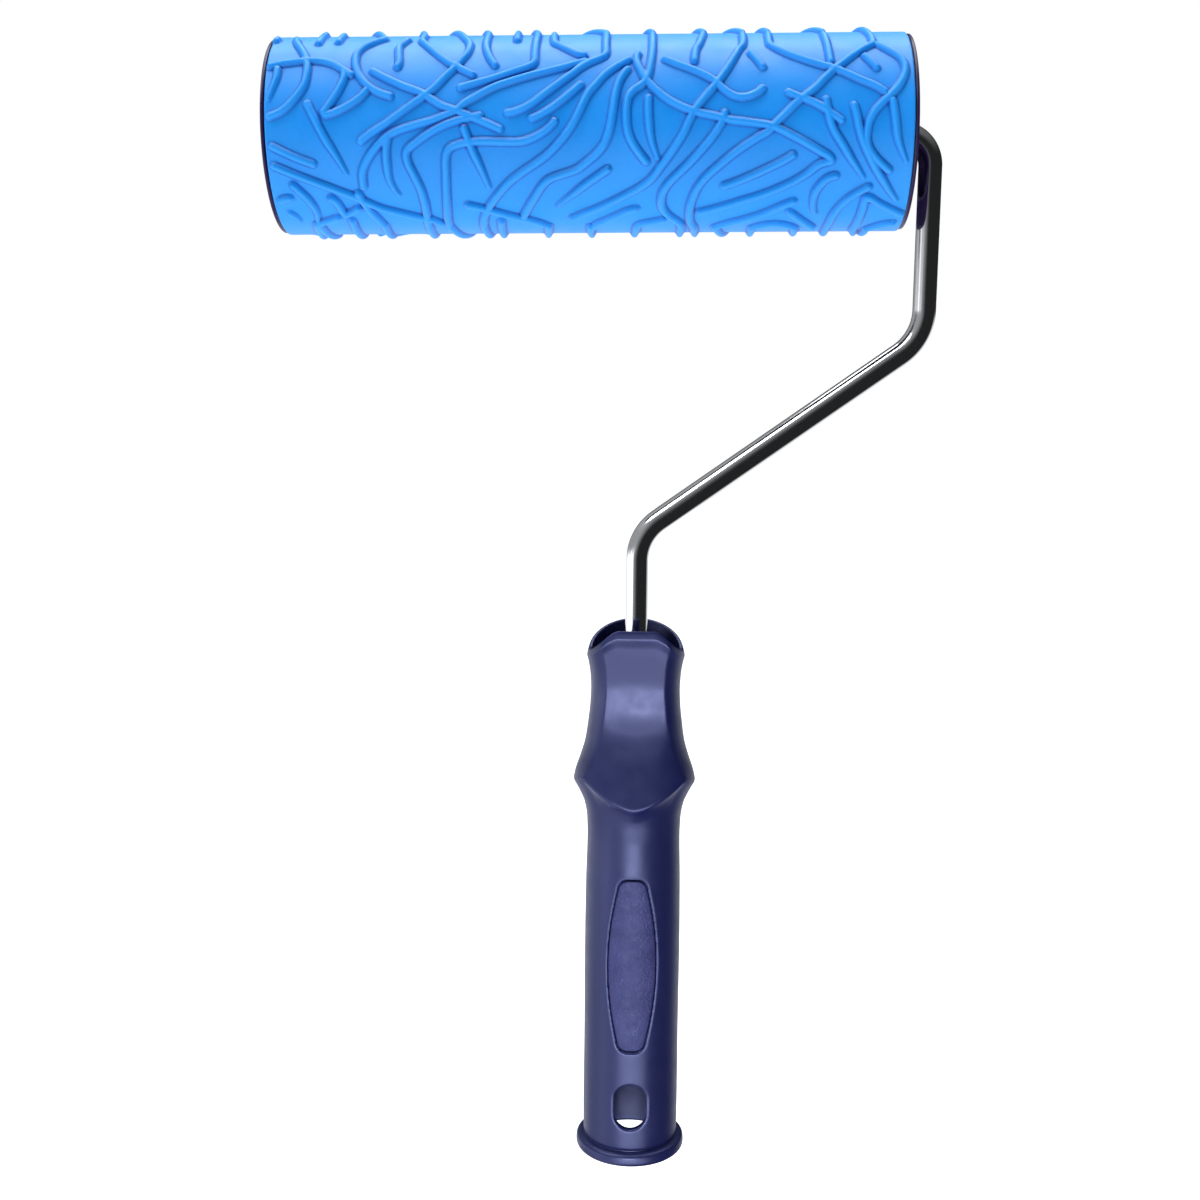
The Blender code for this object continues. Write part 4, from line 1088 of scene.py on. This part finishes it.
class Finish:
    """A material whose look is built up from procedural textures in object coordinates."""

    def __init__(self, name, colour, roughness, metallic=0.0):
        self.material = bpy.data.materials.new(name)
        self.material.use_nodes = True
        self.tree = self.material.node_tree
        self.surface = self.tree.nodes["Principled BSDF"]
        self.set("Base Color", (*colour, 1.0))
        self.set("Roughness", roughness)
        self.set("Metallic", metallic)
        self.place = self.add("ShaderNodeTexCoord").outputs["Object"]

    def add(self, kind, **settings):
        return add_node(self.tree, kind, **settings)

    def set(self, socket, value):
        self.surface.inputs[socket].default_value = value

    def join(self, source, target):
        self.tree.links.new(source, target)

    def stretched(self, x, y, z):
        """Object coordinates drawn out along an axis by a scale below one."""
        mapping = self.add("ShaderNodeMapping")
        mapping.inputs["Scale"].default_value = (x, y, z)
        self.join(self.place, mapping.inputs["Vector"])
        return mapping.outputs["Vector"]

    def noise(self, size, detail=2.0, place=None):
        """Noise whose features are about size millimetres across."""
        node = self.add("ShaderNodeTexNoise")
        node.inputs["Scale"].default_value = 1 / (size * MM)
        node.inputs["Detail"].default_value = detail
        self.join(place or self.place, node.inputs["Vector"])
        return node.outputs["Fac"]

    def cells(self, size, feature="F1"):
        node = self.add("ShaderNodeTexVoronoi", feature=feature)
        node.inputs["Scale"].default_value = 1 / (size * MM)
        self.join(self.place, node.inputs["Vector"])
        return node.outputs["Distance"]

    def attribute(self, name):
        return self.add("ShaderNodeAttribute", attribute_name=name).outputs["Fac"]

    def ramp(self, source, low, high, to_low=0.0, to_high=1.0):
        return map_range(self.tree, source, low, high, to_low, to_high)

    def tint(self, factor, colour):
        """Mixes a colour over what the base colour is so far."""
        target = self.surface.inputs["Base Color"]
        mix = self.add("ShaderNodeMix", data_type="RGBA")
        if target.is_linked:
            self.join(target.links[0].from_socket, mix.inputs["A"])
        else:
            mix.inputs["A"].default_value = tuple(target.default_value)
        mix.inputs["B"].default_value = (*colour, 1.0)
        self.join(factor, mix.inputs["Factor"])
        self.join(mix.outputs["Result"], target)

    def mottle(self, size, detail, low, high, amount, colour):
        """Tints up to an amount where a noise rises from low to high."""
        self.tint(self.ramp(self.noise(size, detail), low, high, 0.0, amount), colour)

    def vary_roughness(self, size, detail, low, high):
        """Makes the roughness follow a noise, from low to high."""
        varied = self.ramp(self.noise(size, detail), NOISE_LOW, NOISE_HIGH, low, high)
        self.join(varied, self.surface.inputs["Roughness"])

    def bump(self, source, depth, strength=1.0):
        """Lays a relief of a depth in millimetres over the ones before it."""
        target = self.surface.inputs["Normal"]
        node = self.add("ShaderNodeBump")
        node.inputs["Strength"].default_value = strength
        node.inputs["Distance"].default_value = depth * MM
        if target.is_linked:
            self.join(target.links[0].from_socket, node.inputs["Normal"])
        self.join(source, node.inputs["Height"])
        self.join(node.outputs["Normal"], target)

    def grain(self, size, detail, depth, strength):
        """Lays a noise over the relief."""
        self.bump(self.noise(size, detail), depth, strength)

    def worn_edges(self, colour, amount):
        """Lightens sharp outer edges, unevenly."""
        pointed = self.add("ShaderNodeNewGeometry").outputs["Pointiness"]
        edge = self.ramp(pointed, 0.52, 0.6, 0.0, amount)       # 0.5 is a flat face's
        patch = self.ramp(self.noise(4.0, 4.0), 0.35, 0.6)
        self.tint(combine(self.tree, "MULTIPLY", edge, patch), colour)


def rubber_finish():
    look = Finish("rubber_azure_look", (0.004, 0.235, 0.75), 0.46)
    look.mottle(24.0, 3.0, 0.35, 0.65, 0.5, (0.007, 0.255, 0.79))
    look.mottle(0.9, 4.0, 0.45, 0.7, 0.35, (0.01, 0.27, 0.82))
    # Ridge tops tinted paler: a painted highlight, with a little wear.
    look.tint(look.ramp(look.attribute("crest"), 0.55, 1.0, 0.0, 0.4), (0.011, 0.285, 0.85))
    # Painted shade: the colour darkens beside and between the ridges, where shade falls.
    look.tint(look.ramp(look.attribute("cavity"), 0.03, 0.2, 0.0, 0.95), (0.0, 0.05, 0.34))
    look.set("Specular IOR Level", 0.45)
    look.set("Specular Tint", (0.95, 0.98, 1.0, 1.0))
    look.set("Sheen Weight", 0.04)
    look.set("Sheen Roughness", 0.5)
    look.set("Sheen Tint", (0.6, 0.8, 1.0, 1.0))
    look.vary_roughness(6.0, 5.0, 0.4, 0.54)
    look.grain(0.25, 3.0, 0.05, 0.35)
    look.grain(3.5, 2.0, 0.12, 0.25)
    return look.material


def plastic_finish():
    look = Finish("plastic_navy_look", (0.0035, 0.0055, 0.042), 0.39)
    look.set("Specular IOR Level", 1.0)
    look.set("Specular Tint", (0.5, 0.56, 1.0, 1.0))
    look.mottle(18.0, 3.0, 0.35, 0.7, 0.45, (0.005, 0.007, 0.05))
    look.mottle(0.35, 2.0, 0.5, 0.7, 0.4, (0.008, 0.011, 0.064))
    look.worn_edges((0.035, 0.045, 0.2), 0.5)
    look.vary_roughness(5.0, 6.0, 0.35, 0.43)
    look.grain(0.32, 3.0, 0.035, 0.5)
    look.grain(9.0, 2.0, 0.1, 0.2)
    return look.material


def pad_finish():
    look = Finish("pad_navy_look", (0.012, 0.013, 0.072), 0.55)
    look.set("Specular IOR Level", 0.8)
    look.set("Specular Tint", (0.5, 0.58, 1.0, 1.0))
    grain = look.cells(0.75, "SMOOTH_F1")
    look.tint(look.ramp(grain, 0.0, 0.32, 0.55, 0.0), (0.05, 0.05, 0.18))
    look.mottle(7.0, 3.0, 0.4, 0.7, 0.4, (0.035, 0.033, 0.13))
    look.vary_roughness(2.5, 4.0, 0.5, 0.66)
    look.bump(look.ramp(grain, 0.05, 0.5, 1.0, 0.0), 0.12, 0.8)
    look.grain(0.2, 2.0, 0.04, 0.4)
    return look.material


def cap_finish():
    look = Finish("cap_navy_look", (0.02, 0.010, 0.065), 0.33)
    look.mottle(9.0, 4.0, 0.35, 0.7, 0.5, (0.027, 0.014, 0.085))
    look.worn_edges((0.06, 0.045, 0.2), 0.6)
    look.vary_roughness(3.0, 6.0, 0.27, 0.42)
    look.grain(0.4, 3.0, 0.03, 0.4)
    return look.material


def tube_finish():
    look = Finish("tube_white_look", (0.70, 0.70, 0.68), 0.48)
    look.mottle(5.0, 5.0, 0.4, 0.7, 0.5, (0.62, 0.62, 0.6))
    look.bump(look.noise(0.8, 3.0, look.stretched(0.03, 1.0, 1.0)), 0.05, 0.5)
    return look.material


def nylon_finish():
    look = Finish("bush_white_look", (0.82, 0.81, 0.76), 0.36)
    look.mottle(2.0, 5.0, 0.4, 0.7, 0.6, (0.74, 0.72, 0.66))
    look.set("Subsurface Weight", 0.15)
    look.set("Subsurface Radius", (1.2 * MM, 1.0 * MM, 0.8 * MM))
    look.grain(0.5, 3.0, 0.03, 0.5)
    return look.material


def chrome_finish():
    look = Finish("chrome_look", (0.80, 0.81, 0.83), 0.11, 1.0)
    look.mottle(1.6, 6.0, 0.55, 0.8, 0.25, (0.5, 0.51, 0.53))
    look.vary_roughness(4.0, 6.0, 0.09, 0.14)
    look.grain(16.0, 2.0, 0.02, 0.15)
    return look.material


def zinc_finish():
    look = Finish("zinc_steel_look", (0.58, 0.59, 0.6), 0.3, 1.0)
    look.mottle(1.2, 6.0, 0.45, 0.75, 0.6, (0.42, 0.43, 0.43))
    look.vary_roughness(0.8, 4.0, 0.22, 0.42)
    look.grain(0.3, 3.0, 0.02, 0.5)
    return look.material


# ------------------------------------------------------------ studio

def make_floor():
    """A pale table well below the tool's end, bright as a lit one is."""
    mesh = bpy.data.meshes.new("floor")
    low, high, depth = FLOOR_REACH_FRONT, FLOOR_REACH_BACK, FLOOR_DROP
    mesh.from_pydata([(-FLOOR_SIDE, low, -depth), (FLOOR_SIDE, low, -depth),
                      (FLOOR_SIDE, high, -depth), (-FLOOR_SIDE, high, -depth)], [], [(0, 1, 2, 3)])
    floor = add_object("floor", mesh)
    paper = bpy.data.materials.new("floor_paper")
    paper.use_nodes = True
    surface = paper.node_tree.nodes["Principled BSDF"]
    surface.inputs["Base Color"].default_value = (0.86, 0.86, 0.86, 1.0)
    surface.inputs["Roughness"].default_value = 0.9
    surface.inputs["Emission Color"].default_value = (1.0, 1.0, 1.0, 1.0)
    surface.inputs["Emission Strength"].default_value = FLOOR_GLOW
    mesh.materials.append(paper)
    floor.visible_glossy = False        # WORLD_PARTS has the table that is mirrored


def add_softbox(name, place, target, size, radiance, pieces=(), mirrored=True):
    """A soft rectangular light that the camera doesn't see, for all pieces or those named."""
    lamp = bpy.data.lights.new(name, "AREA")
    lamp.shape = "RECTANGLE"
    lamp.size, lamp.size_y = size
    lamp.energy = radiance * math.pi * size[0] * size[1]
    holder = add_object(name, lamp)
    holder.location = place
    holder.rotation_euler = (Vector(target) - Vector(place)).to_track_quat("-Z", "Y").to_euler()
    holder.visible_camera = False
    holder.visible_glossy = mirrored
    if pieces:
        receivers = bpy.data.collections.new(name + "_receivers")
        for piece in pieces:
            receivers.objects.link(bpy.data.objects[piece])
        holder.light_linking.receiver_collection = receivers


def make_world():
    """White for the camera. The tool itself sees the room that WORLD_PARTS stands for."""
    world = bpy.data.worlds.new("studio")
    bpy.context.scene.world = world
    world.use_nodes = True
    world.cycles.sampling_method = "NONE"
    tree = world.node_tree
    tree.nodes.clear()
    direction = add_node(tree, "ShaderNodeSeparateXYZ")
    place = add_node(tree, "ShaderNodeTexCoord").outputs["Generated"]
    tree.links.new(place, direction.inputs[0])
    total = None
    for brightness, ranges in WORLD_PARTS:
        part = None
        for axis, low, high in ranges:
            full = brightness if part is None else 1.0
            fade = map_range(tree, direction.outputs[axis], low, high, 0.0, full,
                             interpolation_type="SMOOTHSTEP")
            part = fade if part is None else combine(tree, "MULTIPLY", part, fade)
        total = part if total is None else combine(tree, "ADD", total, part)
    seen = add_node(tree, "ShaderNodeBackground")
    seen.inputs["Color"].default_value = (1.0, 1.0, 1.0, 1.0)
    lit = add_node(tree, "ShaderNodeBackground")
    lit.inputs["Color"].default_value = WORLD_COLOUR
    tree.links.new(total, lit.inputs["Strength"])
    chosen = add_node(tree, "ShaderNodeMixShader")
    path = add_node(tree, "ShaderNodeLightPath")
    tree.links.new(path.outputs["Is Camera Ray"], chosen.inputs["Fac"])
    tree.links.new(lit.outputs[0], chosen.inputs[1])
    tree.links.new(seen.outputs[0], chosen.inputs[2])
    output = add_node(tree, "ShaderNodeOutputWorld")
    tree.links.new(chosen.outputs[0], output.inputs["Surface"])


def make_camera():
    pitch, yaw, roll = (math.radians(angle) for angle in CAMERA_ANGLES)
    ahead = Vector((math.sin(yaw) * math.cos(pitch), math.cos(yaw) * math.cos(pitch),
                    -math.sin(pitch)))
    level = Vector((math.cos(yaw), -math.sin(yaw), 0))
    upwards = level.cross(ahead)
    right = math.cos(roll) * level + math.sin(roll) * upwards
    up = math.cos(roll) * upwards - math.sin(roll) * level
    lens = bpy.data.cameras.new("camera")
    lens.lens, lens.sensor_width = CAMERA_LENS, CAMERA_SENSOR
    lens.clip_start = 0.01
    camera = add_object("camera", lens)
    turn = Matrix((right, up, -ahead)).transposed()
    camera.matrix_world = Matrix.Translation(CAMERA_PLACE) @ turn.to_4x4()
    bpy.context.scene.camera = camera


# ------------------------------------------------------------ the whole

def make_tool():
    plastic, cap, nylon, zinc = plastic_finish(), cap_finish(), nylon_finish(), zinc_finish()
    pad = pad_finish()
    make_sleeve(rubber_finish())
    make_handle(plastic)
    for side, facing in (("front", -1), ("back", 1)):
        make_pad(side, facing, pad)
    make_rod(chrome_finish())
    for side, hardware, direction in (("right", "inner", 1), ("left", "outer", -1)):
        make_cap(side, direction, cap)
        make_bush(side, direction, nylon)
        make_axle_hardware(hardware, direction, zinc)
    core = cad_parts["core_tube"]
    core.material_slots[0].material = tube_finish()


make_tool()
make_floor()
make_world()
for softbox in SOFTBOXES:
    add_softbox(*softbox)
make_camera()
bpy.context.scene.view_settings.view_transform = "Standard"
